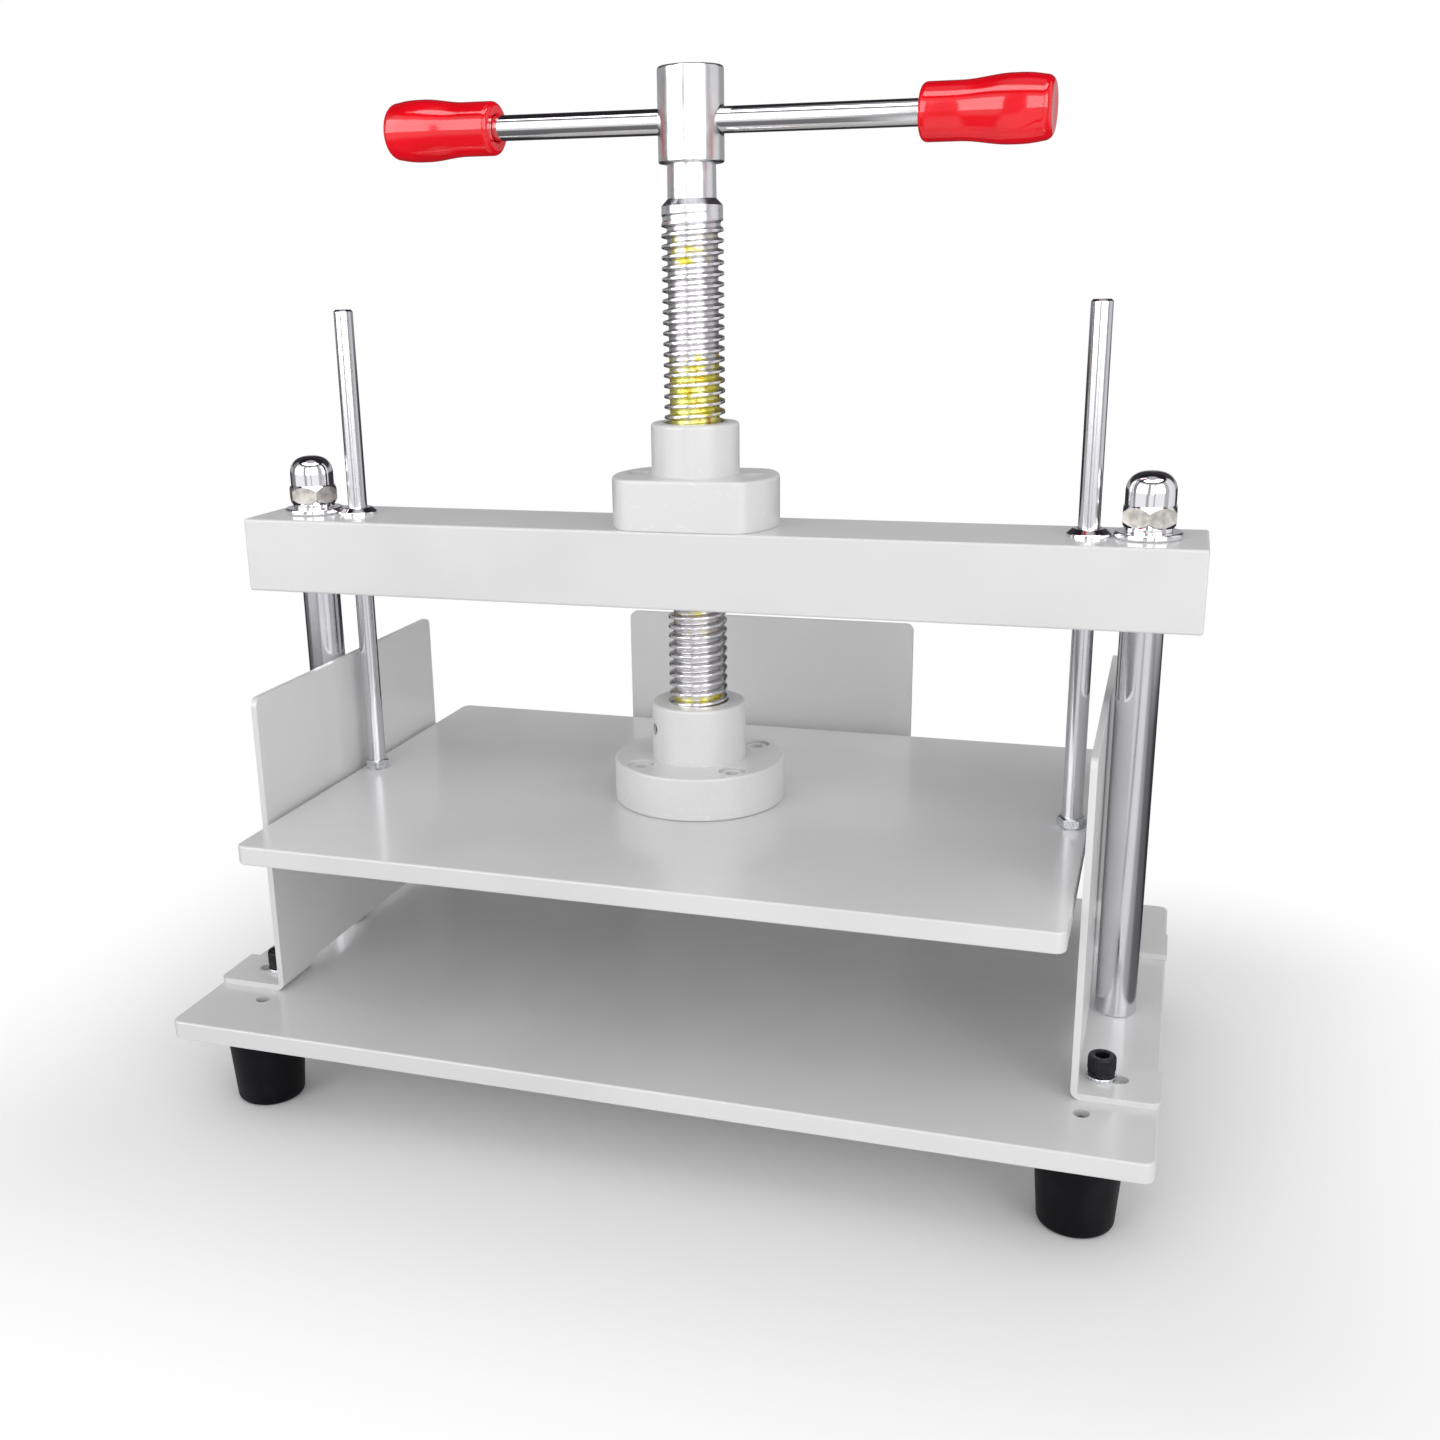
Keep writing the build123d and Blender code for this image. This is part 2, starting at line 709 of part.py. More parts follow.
def grip(side):
    """moulded grip on one end of the bar: waisted, swelling outwards, round at the end"""
    handle_plane = Plane(
        bar_middle,
        x_dir=side * bar_direction,
        z_dir=side * bar_direction.cross(Vector(0, 0, 1)),
    )
    tip = grip_start + grip_length
    with BuildPart() as sleeve:
        with BuildSketch(handle_plane):
            with BuildLine():
                mouth = Line((grip_start, bar_diameter / 2), (grip_start, grip_mouth_radius))
                lip = Line(mouth @ 1, (grip_start + 1, grip_waist_radius))
                body = Spline(
                    lip @ 1,
                    (grip_start + 0.36 * grip_length, grip_waist_radius),
                    (grip_start + 0.69 * grip_length, grip_swell_radius),
                    (grip_start + 0.93 * grip_length, grip_shoulder_radius),
                )
                shoulder = Line(body @ 1, (tip, grip_end_radius))
                Line(shoulder @ 1, (tip, 0))
                Line((tip, 0), (bar_half_length, 0))
                Line((bar_half_length, 0), (bar_half_length, bar_diameter / 2))
                Line((bar_half_length, bar_diameter / 2), mouth @ 0)
            make_face()
        revolve(axis=Axis(bar_middle, bar_direction))
    return sleeve


right_grip = grip(1)
left_grip = grip(-1)

# One file for each piece, named as the piece
pieces = {
    "base_plate": base_plate,
    "rubber_feet": rubber_feet,
    "foot_washers": foot_washers,
    "foot_screws": foot_screws,
    "left_column": left_column,
    "right_column": right_column,
    "column_bolt_washers": column_bolt_washers,
    "column_bolts": column_bolts,
    "crossbeam": crossbeam,
    "column_washers": column_washers,
    "acorn_nuts": acorn_nuts,
    "left_guide_bush": left_guide_bush,
    "right_guide_bush": right_guide_bush,
    "screw_nut": screw_nut,
    "nut_screws": nut_screws,
    "right_guard": right_guard,
    "left_guard": left_guard,
    "back_guard": back_guard,
    "back_guard_screws": back_guard_screws,
    "guard_flat_washers": guard_flat_washers,
    "guard_lock_washers": guard_lock_washers,
    "guard_screws": guard_screws,
    "pressing_plate": pressing_plate,
    "thrust_housing": thrust_housing,
    "housing_screws": housing_screws,
    "thrust_washer": thrust_washer,
    "retaining_screw": retaining_screw,
    "left_guide_rod": left_guide_rod,
    "right_guide_rod": right_guide_rod,
    "rod_lock_nuts": rod_lock_nuts,
    "lead_screw": lead_screw,
    "turning_bar": turning_bar,
    "left_grip": left_grip,
    "right_grip": right_grip,
}
for name, piece in pieces.items():
    piece.part.label = name
    export_step(piece.part, f"parts/{name}.step")
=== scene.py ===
import json
import math

import bmesh
import bpy
import numpy as np
from mathutils import Matrix, Vector

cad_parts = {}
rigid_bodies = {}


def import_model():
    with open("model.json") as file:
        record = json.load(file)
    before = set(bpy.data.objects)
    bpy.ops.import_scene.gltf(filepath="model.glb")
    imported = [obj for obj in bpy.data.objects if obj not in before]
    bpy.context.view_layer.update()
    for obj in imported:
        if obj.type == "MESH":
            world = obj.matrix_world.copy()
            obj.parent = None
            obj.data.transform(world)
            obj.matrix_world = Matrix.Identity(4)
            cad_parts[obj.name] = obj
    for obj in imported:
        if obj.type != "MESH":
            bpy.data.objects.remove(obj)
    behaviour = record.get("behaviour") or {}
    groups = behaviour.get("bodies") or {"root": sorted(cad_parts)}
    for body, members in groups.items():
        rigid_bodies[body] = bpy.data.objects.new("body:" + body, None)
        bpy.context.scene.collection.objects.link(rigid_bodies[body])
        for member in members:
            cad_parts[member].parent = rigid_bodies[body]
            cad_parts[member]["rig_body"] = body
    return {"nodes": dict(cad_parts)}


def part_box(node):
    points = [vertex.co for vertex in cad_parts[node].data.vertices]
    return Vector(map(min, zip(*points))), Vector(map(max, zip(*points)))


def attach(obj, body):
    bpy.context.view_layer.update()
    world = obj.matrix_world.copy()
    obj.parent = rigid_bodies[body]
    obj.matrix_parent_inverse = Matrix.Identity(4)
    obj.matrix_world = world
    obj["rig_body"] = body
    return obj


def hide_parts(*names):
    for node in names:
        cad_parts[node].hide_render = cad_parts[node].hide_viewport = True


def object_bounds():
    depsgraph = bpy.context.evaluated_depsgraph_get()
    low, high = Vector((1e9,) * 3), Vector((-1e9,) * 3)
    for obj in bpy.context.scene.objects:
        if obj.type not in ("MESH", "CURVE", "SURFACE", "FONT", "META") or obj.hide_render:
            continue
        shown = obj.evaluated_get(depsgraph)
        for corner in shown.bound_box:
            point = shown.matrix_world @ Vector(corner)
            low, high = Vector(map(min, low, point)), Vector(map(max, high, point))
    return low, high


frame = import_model()
cad_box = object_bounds()

# Looks of a manual screw press for books and paper. Metres, X to the right, Y to the back, Z up.
MM = 0.001
FULL_TURN = 2 * math.pi


def span(node):
    """Lowest and highest corner of a CAD node as arrays."""
    low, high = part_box(node)
    return np.array(low), np.array(high)


# Places of the repeated pieces, from the frame
COLUMN_X = span("right_column")[1][0] - 8 * MM
ROD_X = span("right_guide_rod")[1][0] - 4 * MM
BASE_TOP = span("base_plate")[1][2]
BEAM_TOP = span("crossbeam")[1][2]
PLATE_TOP = span("pressing_plate")[1][2]
COLUMN_PLACES = [(-COLUMN_X, 0), (COLUMN_X, 0)]
ROD_PLACES = [(-ROD_X, 0), (ROD_X, 0)]

# Lead screw: heights of its journal, thread and hub, and the radii of its thread and plain blank
SPINDLE_END = PLATE_TOP + 4 * MM
PITCH = 4 * MM
THREAD_START = SPINDLE_END + 31 * MM
THREAD_END = THREAD_START + 48 * PITCH
HUB_TOP = span("lead_screw")[1][2]
HUB_START = HUB_TOP - 34 * MM
MAJOR, MINOR, BLANK = 12 * MM, 9.75 * MM, 11.75 * MM


# Camera, as the photograph was taken. Its frame is 1440 by 1440 pixels.
IMAGE_SIZE = 1440
CAMERA_PLACE = (0.1834, -0.5996, 0.3325)
CAMERA_YAW = math.radians(18.55)
CAMERA_PITCH = math.radians(16.87)
CAMERA_ROLL = math.radians(-1.23)
FOCAL_PIXELS = 1560.63
PRINCIPAL_POINT = (659.23, 743.57)
SENSOR = 36.0


def make_camera():
    """Camera turned by yaw, pitch and roll, its principal point set by the lens shift."""
    ahead = Vector((
        -math.sin(CAMERA_YAW) * math.cos(CAMERA_PITCH),
        math.cos(CAMERA_YAW) * math.cos(CAMERA_PITCH),
        -math.sin(CAMERA_PITCH),
    ))
    level = Vector((math.cos(CAMERA_YAW), math.sin(CAMERA_YAW), 0))
    upward = level.cross(ahead)
    right = math.cos(CAMERA_ROLL) * level + math.sin(CAMERA_ROLL) * upward
    top = math.cos(CAMERA_ROLL) * upward - math.sin(CAMERA_ROLL) * level
    camera = bpy.data.objects.new("camera", bpy.data.cameras.new("camera"))
    bpy.context.scene.collection.objects.link(camera)
    camera.matrix_world = Matrix.Translation(CAMERA_PLACE) @ Matrix((right, top, -ahead)).transposed().to_4x4()
    camera.data.sensor_width = SENSOR
    camera.data.lens = FOCAL_PIXELS / IMAGE_SIZE * SENSOR
    camera.data.shift_x = (IMAGE_SIZE / 2 - PRINCIPAL_POINT[0]) / IMAGE_SIZE
    camera.data.shift_y = (PRINCIPAL_POINT[1] - IMAGE_SIZE / 2) / IMAGE_SIZE
    camera.data.clip_start = 0.01
    bpy.context.scene.camera = camera


# Shader maths as Python expressions

class Value:
    """A node's output. The operators on it add Math nodes."""

    def __init__(self, graph, socket):
        self.graph = graph
        self.socket = socket

    def math(self, operation, *others):
        inputs = dict(enumerate((self, *others)))
        return self.graph.node("ShaderNodeMath", {"operation": operation}, inputs)

    def __add__(self, other):
        return self.math("ADD", other)

    def __mul__(self, other):
        return self.math("MULTIPLY", other)

    def __sub__(self, other):
        return self.math("SUBTRACT", other)

    def __truediv__(self, other):
        return self.math("DIVIDE", other)

    def __pow__(self, other):
        return self.math("POWER", other)

    def __rsub__(self, other):
        return self.graph.node("ShaderNodeMath", {"operation": "SUBTRACT"}, {0: other, 1: self})

    def __rtruediv__(self, other):
        return self.graph.node("ShaderNodeMath", {"operation": "DIVIDE"}, {0: other, 1: self})

    __radd__ = __add__
    __rmul__ = __mul__

    def step(self, start, end):
        """0 below start, 1 above end, smooth between; falling where start is above end"""
        low, high = (0, 1) if start < end else (1, 0)
        inputs = {"Value": self, "From Min": min(start, end), "From Max": max(start, end)}
        settings = {"interpolation_type": "SMOOTHSTEP"}
        return self.graph.node("ShaderNodeMapRange", settings, {**inputs, "To Min": low, "To Max": high})


class Graph:
    """Nodes of one material or world."""

    def __init__(self, tree):
        self.tree = tree
        tree.nodes.clear()

    def node(self, kind, settings=None, inputs=None, output=0):
        """One node: its settings first, then the values or links of its sockets."""
        made = self.tree.nodes.new(kind)
        for name, value in (settings or {}).items():
            if name == "stops":
                set_stops(made.color_ramp, value)
            else:
                setattr(made, name, value)
        for name, value in (inputs or {}).items():
            if isinstance(value, Value):
                self.tree.links.new(value.socket, made.inputs[name])
            else:
                made.inputs[name].default_value = value
        return Value(self, made.outputs[output] if made.outputs else None)

    def place(self):
        """Object coordinates as a vector and its X, Y and Z."""
        vector = self.node("ShaderNodeTexCoord", output="Object")
        return vector, *[self.node("ShaderNodeSeparateXYZ", None, {0: vector}, axis) for axis in range(3)]

    def scaled(self, vector, factors):
        """A vector stretched by three factors, so that a pattern can run along one axis."""
        return self.node("ShaderNodeVectorMath", {"operation": "MULTIPLY"}, {0: vector, 1: factors})

    def noise(self, vector, scale, detail=3.0, roughness=0.5):
        inputs = {"Vector": vector, "Scale": scale, "Detail": detail, "Roughness": roughness}
        return self.node("ShaderNodeTexNoise", None, inputs)

    def blend(self, factor, first, second):
        """Mix of two colours."""
        settings = {"data_type": "RGBA"}
        inputs = {0: factor, 6: colour(first), 7: colour(second)}
        return self.node("ShaderNodeMix", settings, inputs, 2)

    def bump(self, height, distance, strength=1.0):
        return self.node("ShaderNodeBump", None, {"Height": height, "Distance": distance, "Strength": strength})


def colour(value):
    """Three numbers as a colour socket's four; a link stays as it is."""
    return value if isinstance(value, Value) else (*value, 1.0)


def set_stops(ramp, stops):
    """Colours of a ramp at their places, the first at its start and the last at its end."""
    for element, stop in zip(ramp.elements, (stops[0], stops[-1])):
        element.color = (*stop[1], 1.0)
    for position, shade in stops[1:-1]:
        ramp.elements.new(position).color = (*shade, 1.0)


def finish_material(name, paint):
    """Material whose Principled inputs come from paint(graph)."""
    material = bpy.data.materials.new(name)
    material.use_nodes = True
    graph = Graph(material.node_tree)
    shader = graph.node("ShaderNodeBsdfPrincipled", None, paint(graph))
    graph.node("ShaderNodeOutputMaterial", None, {"Surface": shader})
    return material


# Finishes. Lengths inside them are metres, so a noise scale of 700 gives grains of 1.4 mm.

ENAMEL_LIGHT = (0.70, 0.70, 0.70)
ENAMEL_DARK = (0.655, 0.655, 0.66)


def enamel(graph):
    """Sprayed light grey enamel: faint clouds in its colour and gloss, and fine orange peel."""
    vector, x, y, z = graph.place()
    clouds = graph.noise(vector, 11.0)
    peel = graph.noise(vector, 520.0, 2.0)
    waves = graph.noise(vector, 90.0, 2.0)
    specks = graph.noise(vector, 1900.0, 1.0).step(0.70, 0.78)
    base = graph.blend(clouds.step(0.35, 0.65), ENAMEL_DARK, ENAMEL_LIGHT)
    return {
        "Base Color": graph.blend(specks * 0.25, base, (0.55, 0.54, 0.52)),
        "Roughness": 0.26 + clouds * 0.10 + peel * 0.06,
        "Specular IOR Level": 0.5,
        "Coat Weight": 0.35,
        "Coat Roughness": 0.12,
        "Normal": graph.bump(peel + waves * 1.6, 0.00003, 0.5),
    }


def cast_enamel(graph):
    """The same enamel over cast and hand-filed metal: broader waves, with a few lighter dents scattered over it."""
    vector, x, y, z = graph.place()
    clouds = graph.noise(vector, 14.0)
    peel = graph.noise(vector, 420.0, 2.0)
    waves = graph.noise(vector, 60.0, 3.0)
    scratches = graph.noise(graph.scaled(vector, (210.0, 900.0, 520.0)), 1.0, 2.0).step(0.63, 0.70)
    base = graph.blend(clouds.step(0.35, 0.65), ENAMEL_DARK, ENAMEL_LIGHT)
    return {
        "Base Color": graph.blend(scratches * 0.35, base, (0.80, 0.80, 0.80)),
        "Roughness": 0.28 + clouds * 0.12,
        "Coat Weight": 0.35,
        "Coat Roughness": 0.14,
        "Normal": graph.bump(peel + waves * 2.4 - scratches * 0.8, 0.00005, 0.6),
    }


def chrome(graph):
    """Hard chrome: bright and slightly warm, with faint lengthwise polishing lines and dull clouds."""
    vector, x, y, z = graph.place()
    clouds = graph.noise(vector, 40.0)
    lines = graph.noise(graph.scaled(vector, (3000.0, 3000.0, 60.0)), 1.0, 2.0)
    return {
        "Base Color": graph.blend(clouds, (0.82, 0.81, 0.83), (0.92, 0.91, 0.92)),
        "Metallic": 1.0,
        "Roughness": 0.025 + clouds * 0.02 + lines * 0.03,
        "Normal": graph.bump(lines, 0.000001, 0.4),
    }


def ground_steel(graph):
    """Ground steel standing upright: grey, a little dull, with very fine grinding rings round it."""
    vector = graph.place()[0]
    clouds = graph.noise(vector, 40.0)
    rings = graph.noise(graph.scaled(vector, (20.0, 20.0, 9000.0)), 1.0, 2.0)
    return {
        "Base Color": graph.blend(clouds, (0.62, 0.61, 0.64), (0.72, 0.71, 0.74)),
        "Metallic": 1.0,
        "Roughness": 0.15 + clouds * 0.05,
        "Normal": graph.bump(rings, 0.000006, 0.5),
    }


def drawn_bar(graph):
    """Ground bar steel lying on its side: lines run along X."""
    vector, x, y, z = graph.place()
    clouds = graph.noise(vector, 40.0)
    lines = graph.noise(graph.scaled(vector, (50.0, 2600.0, 2600.0)), 1.0, 2.0)
    return {
        "Base Color": graph.blend(clouds, (0.74, 0.73, 0.73), (0.86, 0.85, 0.85)),
        "Metallic": 1.0,
        "Roughness": 0.06 + lines * 0.06,
        "Normal": graph.bump(lines, 0.000002, 0.4),
    }


def turned_steel(graph):
    """Lathe-turned bright steel: rings round the axis and satin clouds."""
    vector, x, y, z = graph.place()
    clouds = graph.noise(vector, 130.0)
    rings = graph.noise(graph.scaled(vector, (12.0, 12.0, 5200.0)), 1.0, 2.0)
    grain = graph.noise(vector, 1500.0, 2.0)
    return {
        "Base Color": graph.blend(clouds, (0.70, 0.69, 0.70), (0.88, 0.87, 0.87)),
        "Metallic": 1.0,
        "Roughness": 0.14 + clouds * 0.14 + grain * 0.06,
        "Normal": graph.bump(rings * 0.7 + grain * 0.3, 0.000016, 0.6),
    }


# Grease on the thread: lowest and highest place of each patch, and how thick it lies
GREASE_BANDS = [(0.334, 0.345, 0.25), (0.270, 0.297, 0.80), (0.190, 0.214, 0.15), (0.160, 0.166, 0.55)]


def greased_thread(graph):
    """Turned steel, darker towards the roots of the thread, with patches of yellow grease that turn brown to the
    right.
    """
    vector, x, y, z = graph.place()
    clouds = graph.noise(vector, 130.0)
    grain = graph.noise(vector, 1500.0, 2.0)
    rings = graph.noise(graph.scaled(vector, (12.0, 12.0, 5200.0)), 1.0, 2.0)
    radius = (x * x + y * y).math("SQRT")
    threaded = z.step(THREAD_START - MM, THREAD_START) * z.step(THREAD_END + 2 * PITCH, THREAD_END + PITCH)
    depth = radius.step(BLANK, MINOR + 0.3 * MM) * threaded
    patches = graph.noise(graph.scaled(vector, (150.0, 150.0, 330.0)), 1.0, 3.0)
    grease = None
    for low, high, thickness in GREASE_BANDS:
        margin = (high - low) * 0.3
        band = z.step(low - margin, low + margin) * z.step(high + margin, high - margin) * thickness
        grease = band if grease is None else grease + band
    smear = (patches + depth * 0.30 + grease * 0.40).step(0.86, 1.0) * grease.step(0.05, 0.2)
    brown = graph.noise(vector, 420.0).step(0.52, 0.66) * x.step(-2 * MM, 8 * MM)
    steel = graph.blend(clouds, (0.72, 0.71, 0.74), (0.90, 0.89, 0.90))
    # The steel's colour is made darker towards the roots of the thread, by their depth.
    darker_in_roots = graph.blend(depth * 0.35, steel, (0.26, 0.24, 0.23))
    tint = graph.blend(patches.step(0.45, 0.65), (0.72, 0.70, 0.26), (0.62, 0.56, 0.07))
    oily = graph.blend(brown, tint, (0.50, 0.24, 0.04))
    return {
        "Base Color": graph.blend(smear, darker_in_roots, oily),
        "Metallic": 1.0 - smear * 0.2,
        "Roughness": 0.16 + clouds * 0.10 + grain * 0.06 + depth * 0.06,
        "Normal": graph.bump(rings * 0.5 + grain * 0.3 + smear * patches * 3.0, 0.00003, 0.5),
    }


def raw_steel(graph):
    """Bare hexagon faces: blanked metal, warm grey and cloudy, brighter where it is turned."""
    vector, x, y, z = graph.place()
    clouds = graph.noise(vector, 260.0, 4.0)
    return {
        "Base Color": graph.blend(clouds.step(0.35, 0.7), (0.36, 0.34, 0.31), (0.60, 0.57, 0.53)),
        "Metallic": 1.0,
        "Roughness": 0.30 + clouds * 0.18,
        "Normal": graph.bump(clouds, 0.00002, 0.5),
    }


def zinc(graph):
    """Zinc plating: bluish, fine crystals."""
    vector, x, y, z = graph.place()
    crystals = graph.noise(vector, 900.0, 3.0)
    return {
        "Base Color": graph.blend(crystals, (0.62, 0.64, 0.68), (0.80, 0.81, 0.84)),
        "Metallic": 1.0,
        "Roughness": 0.20 + crystals * 0.15,
        "Normal": graph.bump(crystals, 0.000008, 0.5),
    }


def black_oxide(graph):
    """Blackened steel, oily, worn a little lighter in patches."""
    vector, x, y, z = graph.place()
    wear = graph.noise(vector, 800.0, 3.0)
    return {
        "Base Color": graph.blend(wear.step(0.45, 0.75), (0.004, 0.004, 0.006), (0.018, 0.017, 0.022)),
        "Specular IOR Level": 0.35,
        "Roughness": 0.28 + wear * 0.20,
        "Normal": graph.bump(wear, 0.00001, 0.5),
    }


def bronze(graph):
    vector, x, y, z = graph.place()
    clouds = graph.noise(vector, 300.0)
    return {
        "Base Color": graph.blend(clouds, (0.55, 0.34, 0.14), (0.70, 0.47, 0.22)),
        "Metallic": 1.0,
        "Roughness": 0.25 + clouds * 0.15,
    }


def rubber(graph):
    """Moulded black rubber: satin, with a dusting that dulls it in clouds."""
    vector, x, y, z = graph.place()
    dust = graph.noise(vector, 60.0, 4.0)
    pores = graph.noise(vector, 1600.0, 2.0)
    return {
        "Base Color": graph.blend(dust.step(0.4, 0.8), (0.002, 0.002, 0.003), (0.008, 0.007, 0.010)),
        "Specular IOR Level": 0.12,
        "Roughness": 0.40 + dust * 0.20,
        "Normal": graph.bump(pores + dust * 2.0, 0.00003, 0.4),
    }


def red_grip(graph):
    """Glossy red moulded plastic, a little deeper in its clouds, with faint moulding ripples."""
    vector, x, y, z = graph.place()
    clouds = graph.noise(vector, 55.0)
    ripples = graph.noise(vector, 210.0, 1.0)
    return {
        "Base Color": graph.blend(clouds.step(0.3, 0.7), (0.76, 0.001, 0.008), (0.88, 0.002, 0.012)),
        "Roughness": 0.08 + clouds * 0.04,
        "Specular IOR Level": 0.4,
        "Coat Weight": 0.5,
        "Coat Roughness": 0.03,
        "Normal": graph.bump(ripples, 0.00002, 0.25),
    }


FINISHES = {
    name: finish_material(name, paint)
    for name, paint in {
        "enamel": enamel,
        "cast_enamel": cast_enamel,
        "chrome": chrome,
        "ground_steel": ground_steel,
        "drawn_bar": drawn_bar,
        "turned_steel": turned_steel,
        "greased_thread": greased_thread,
        "raw_steel": raw_steel,
        "zinc": zinc,
        "black_oxide": black_oxide,
        "bronze": bronze,
        "rubber": rubber,
        "red_grip": red_grip,
    }.items()
}


# Surfaces. Every shape is rings of points, an array of rings by sides by three.

def rounded(corners, radius, steps=4):
    """Profile through corners, each inner one replaced by an arc tangent to both its sides.

    An arc starts radius * tan(turn / 2) from its corner, and one more point just beyond each
    of its ends keeps the flats beside it flat.
    """
    corners = np.array(corners, float)
    radii = np.broadcast_to(radius, len(corners))
    kept = [corners[:1]]
    for before, here, after, bend in zip(corners, corners[1:], corners[2:], radii[1:]):
        back = (before - here) / np.linalg.norm(before - here)
        ahead = (after - here) / np.linalg.norm(after - here)
        turn = math.pi - math.acos(float(np.clip(back @ ahead, -1, 1)))
        if bend == 0 or turn < 1e-6:
            kept.append(here[None])
            continue
        reach = bend * math.tan(turn / 2)
        middle = here + (back + ahead) / np.linalg.norm(back + ahead) * bend / math.cos(turn / 2)
        share = np.linspace(0, 1, steps + 1)[:, None]
        start, end = here + back * reach - middle, here + ahead * reach - middle
        arc = middle + (np.sin((1 - share) * turn) * start + np.sin(share * turn) * end) / math.sin(turn)
        kept += [(here + back * reach * 1.15)[None], arc, (here + ahead * reach * 1.15)[None]]
    kept.append(corners[-1:])
    return np.concatenate(kept)


def angles_of(sides):
    return np.arange(sides) * FULL_TURN / sides


def rings(rows, sides=96, turn=0.0):
    """Rings about the Z axis: each row is a radius and a height, a number or one value per side."""
    around = angles_of(sides)
    radius = np.stack([np.broadcast_to(row[0], sides) for row in rows])
    height = np.stack([np.broadcast_to(row[1], sides) for row in rows])
    return np.stack([radius * np.cos(around + turn), radius * np.sin(around + turn), height], axis=-1)


def hexagon_radius(across_flats, sides):
    """Distance from the centre to a hexagon's side in each direction: half the flats over the cosine."""
    folded = (angles_of(sides) + math.pi / 6) % (math.pi / 3) - math.pi / 6
    return across_flats / 2 / np.cos(folded)


def moved(points, offset):
    return points + np.array(offset, float)


def laid_along(points, centre, direction):
    """Points about the Z axis turned so that Z runs along a direction through centre."""
    side = np.cross([0.0, 0.0, 1.0], direction)
    side /= np.linalg.norm(side)
    return points @ np.stack([side, np.cross(direction, side), direction]) + centre


def skin(name, shells):
    """Mesh of one or more shells of rings: quads between neighbouring rings, ends and seams merged."""
    points, faces, first = [], [], 0
    for shell in shells:
        count, sides = shell.shape[:2]
        index = np.arange(count * sides).reshape(count, sides) + first
        beside = np.roll(index, -1, axis=1)
        quads = np.stack([index[:-1], beside[:-1], beside[1:], index[1:]], axis=-1)
        points.append(shell.reshape(-1, 3))
        faces.append(quads.reshape(-1, 4))
        first += count * sides
    mesh = bpy.data.meshes.new(name)
    mesh.from_pydata(np.concatenate(points), [], np.concatenate(faces).tolist())
    clean(mesh)
    return mesh


def clean(mesh, flat_angle=None):
    """Merges doubled points, and joins coplanar triangles where a flat angle is given."""
    work = bmesh.new()
    work.from_mesh(mesh)
    bmesh.ops.remove_doubles(work, verts=work.verts, dist=2e-7)
    bmesh.ops.dissolve_degenerate(work, edges=work.edges, dist=1e-8)
    if flat_angle is not None:
        bmesh.ops.dissolve_limit(work, angle_limit=flat_angle, verts=work.verts, edges=work.edges)
    work.to_mesh(mesh)
    work.free()
    mesh.update()


SHARP_ANGLE = math.radians(32)


def piece(name, mesh, finish, body, replaced, bevel=0.0):
    """Object of a mesh, shaded smooth but for its sharp edges, riding on its body for the CAD nodes it replaces."""
    mesh.shade_smooth()
    mesh.set_sharp_from_angle(angle=SHARP_ANGLE)
    mesh.materials.clear()
    mesh.materials.append(FINISHES[finish])
    made = bpy.data.objects.new(name, mesh)
    bpy.context.scene.collection.objects.link(made)
    if bevel:
        edge = made.modifiers.new("soft_edges", "BEVEL")
        edge.width = bevel
        edge.segments = 2
        edge.limit_method = "ANGLE"
        edge.angle_limit = SHARP_ANGLE
        edge.harden_normals = False
    weighted = made.modifiers.new("even_shading", "WEIGHTED_NORMAL")
    weighted.keep_sharp = True
    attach(made, body)
    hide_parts(*replaced)
    return made


def dressed(node, name, finish, bevel=0.0, flat_angle=math.radians(0.4)):
    """Piece from a merged copy of a CAD node, with soft edges."""
    mesh = frame["nodes"][node].data.copy()
    mesh.name = name
    clean(mesh, flat_angle)
    return piece(name, mesh, finish, frame["nodes"][node]["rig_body"], [node], bevel)


def corners_of(node, radius):
    """Four plan places of a node's outermost round pieces, one in each quarter."""
    low, high = span(node)
    x, y = high[0] - radius, high[1] - radius
    return [(sx * x, sy * y) for sx in (-1, 1) for sy in (-1, 1)]


def socket_cap(head, height, key, length, thread, knurls=0, sides=120):
    """Rings of a socket head screw on z = 0: thread, underside, knurled side, rounded rim and hexagon socket."""
    around = angles_of(sides)
    ridge = head * 0.012 * np.cos(around * knurls) if knurls else 0.0
    rim = 0.07 * head
    socket = hexagon_radius(key, sides)
    low_knurl = height * 0.06
    high_knurl = height - rim - height * 0.06
    rows = [
        (0, -length),
        (thread * 0.42, -length),
        (thread * 0.5, -length + thread * 0.08),
        (thread * 0.5, 0),
        (head * 0.47, 0),
        (head * 0.5, low_knurl),
        (head * 0.5 + ridge, low_knurl * 1.6),
        (head * 0.5 + ridge, high_knurl),
        (head * 0.5, height - rim),
        *[
            (head * 0.5 - rim * (1 - math.cos(a)), height - rim * (1 - math.sin(a)))
            for a in np.linspace(0.2, math.pi / 2, 5)
        ],
        (key * 0.62, height),
        (socket * 1.03, height - 0.02 * head),
        (socket, height - 0.05 * head),
        (socket, height * 0.45),
        (0, height * 0.38),
    ]
    return rings(rows, sides)


def flat_ring(outer, inner, thickness, edge, sides=96):
    """Rings of a washer on z = 0 with rounded outer edges."""
    corners = [(inner, 0), (outer, 0), (outer, thickness), (inner, thickness), (inner, 0)]
    return rings(rounded(corners, [0, edge, edge, edge * 0.5, 0]), sides)


def hexagon_body(across_flats, height, bore, slope=0.6, sides=120):
    """Rings of a hexagon nut on z = 0: a cone at each end cuts the corners down to a round face."""
    corner = hexagon_radius(across_flats, sides)
    face = across_flats * 0.478
    cut = (corner - face) * slope
    rows = [(bore, 0), (face, 0), (corner, cut), (corner, height - cut), (face, height)]
    return rows + [(bore + 0.0004, height), (bore, height - 0.0004), (bore, 0)]


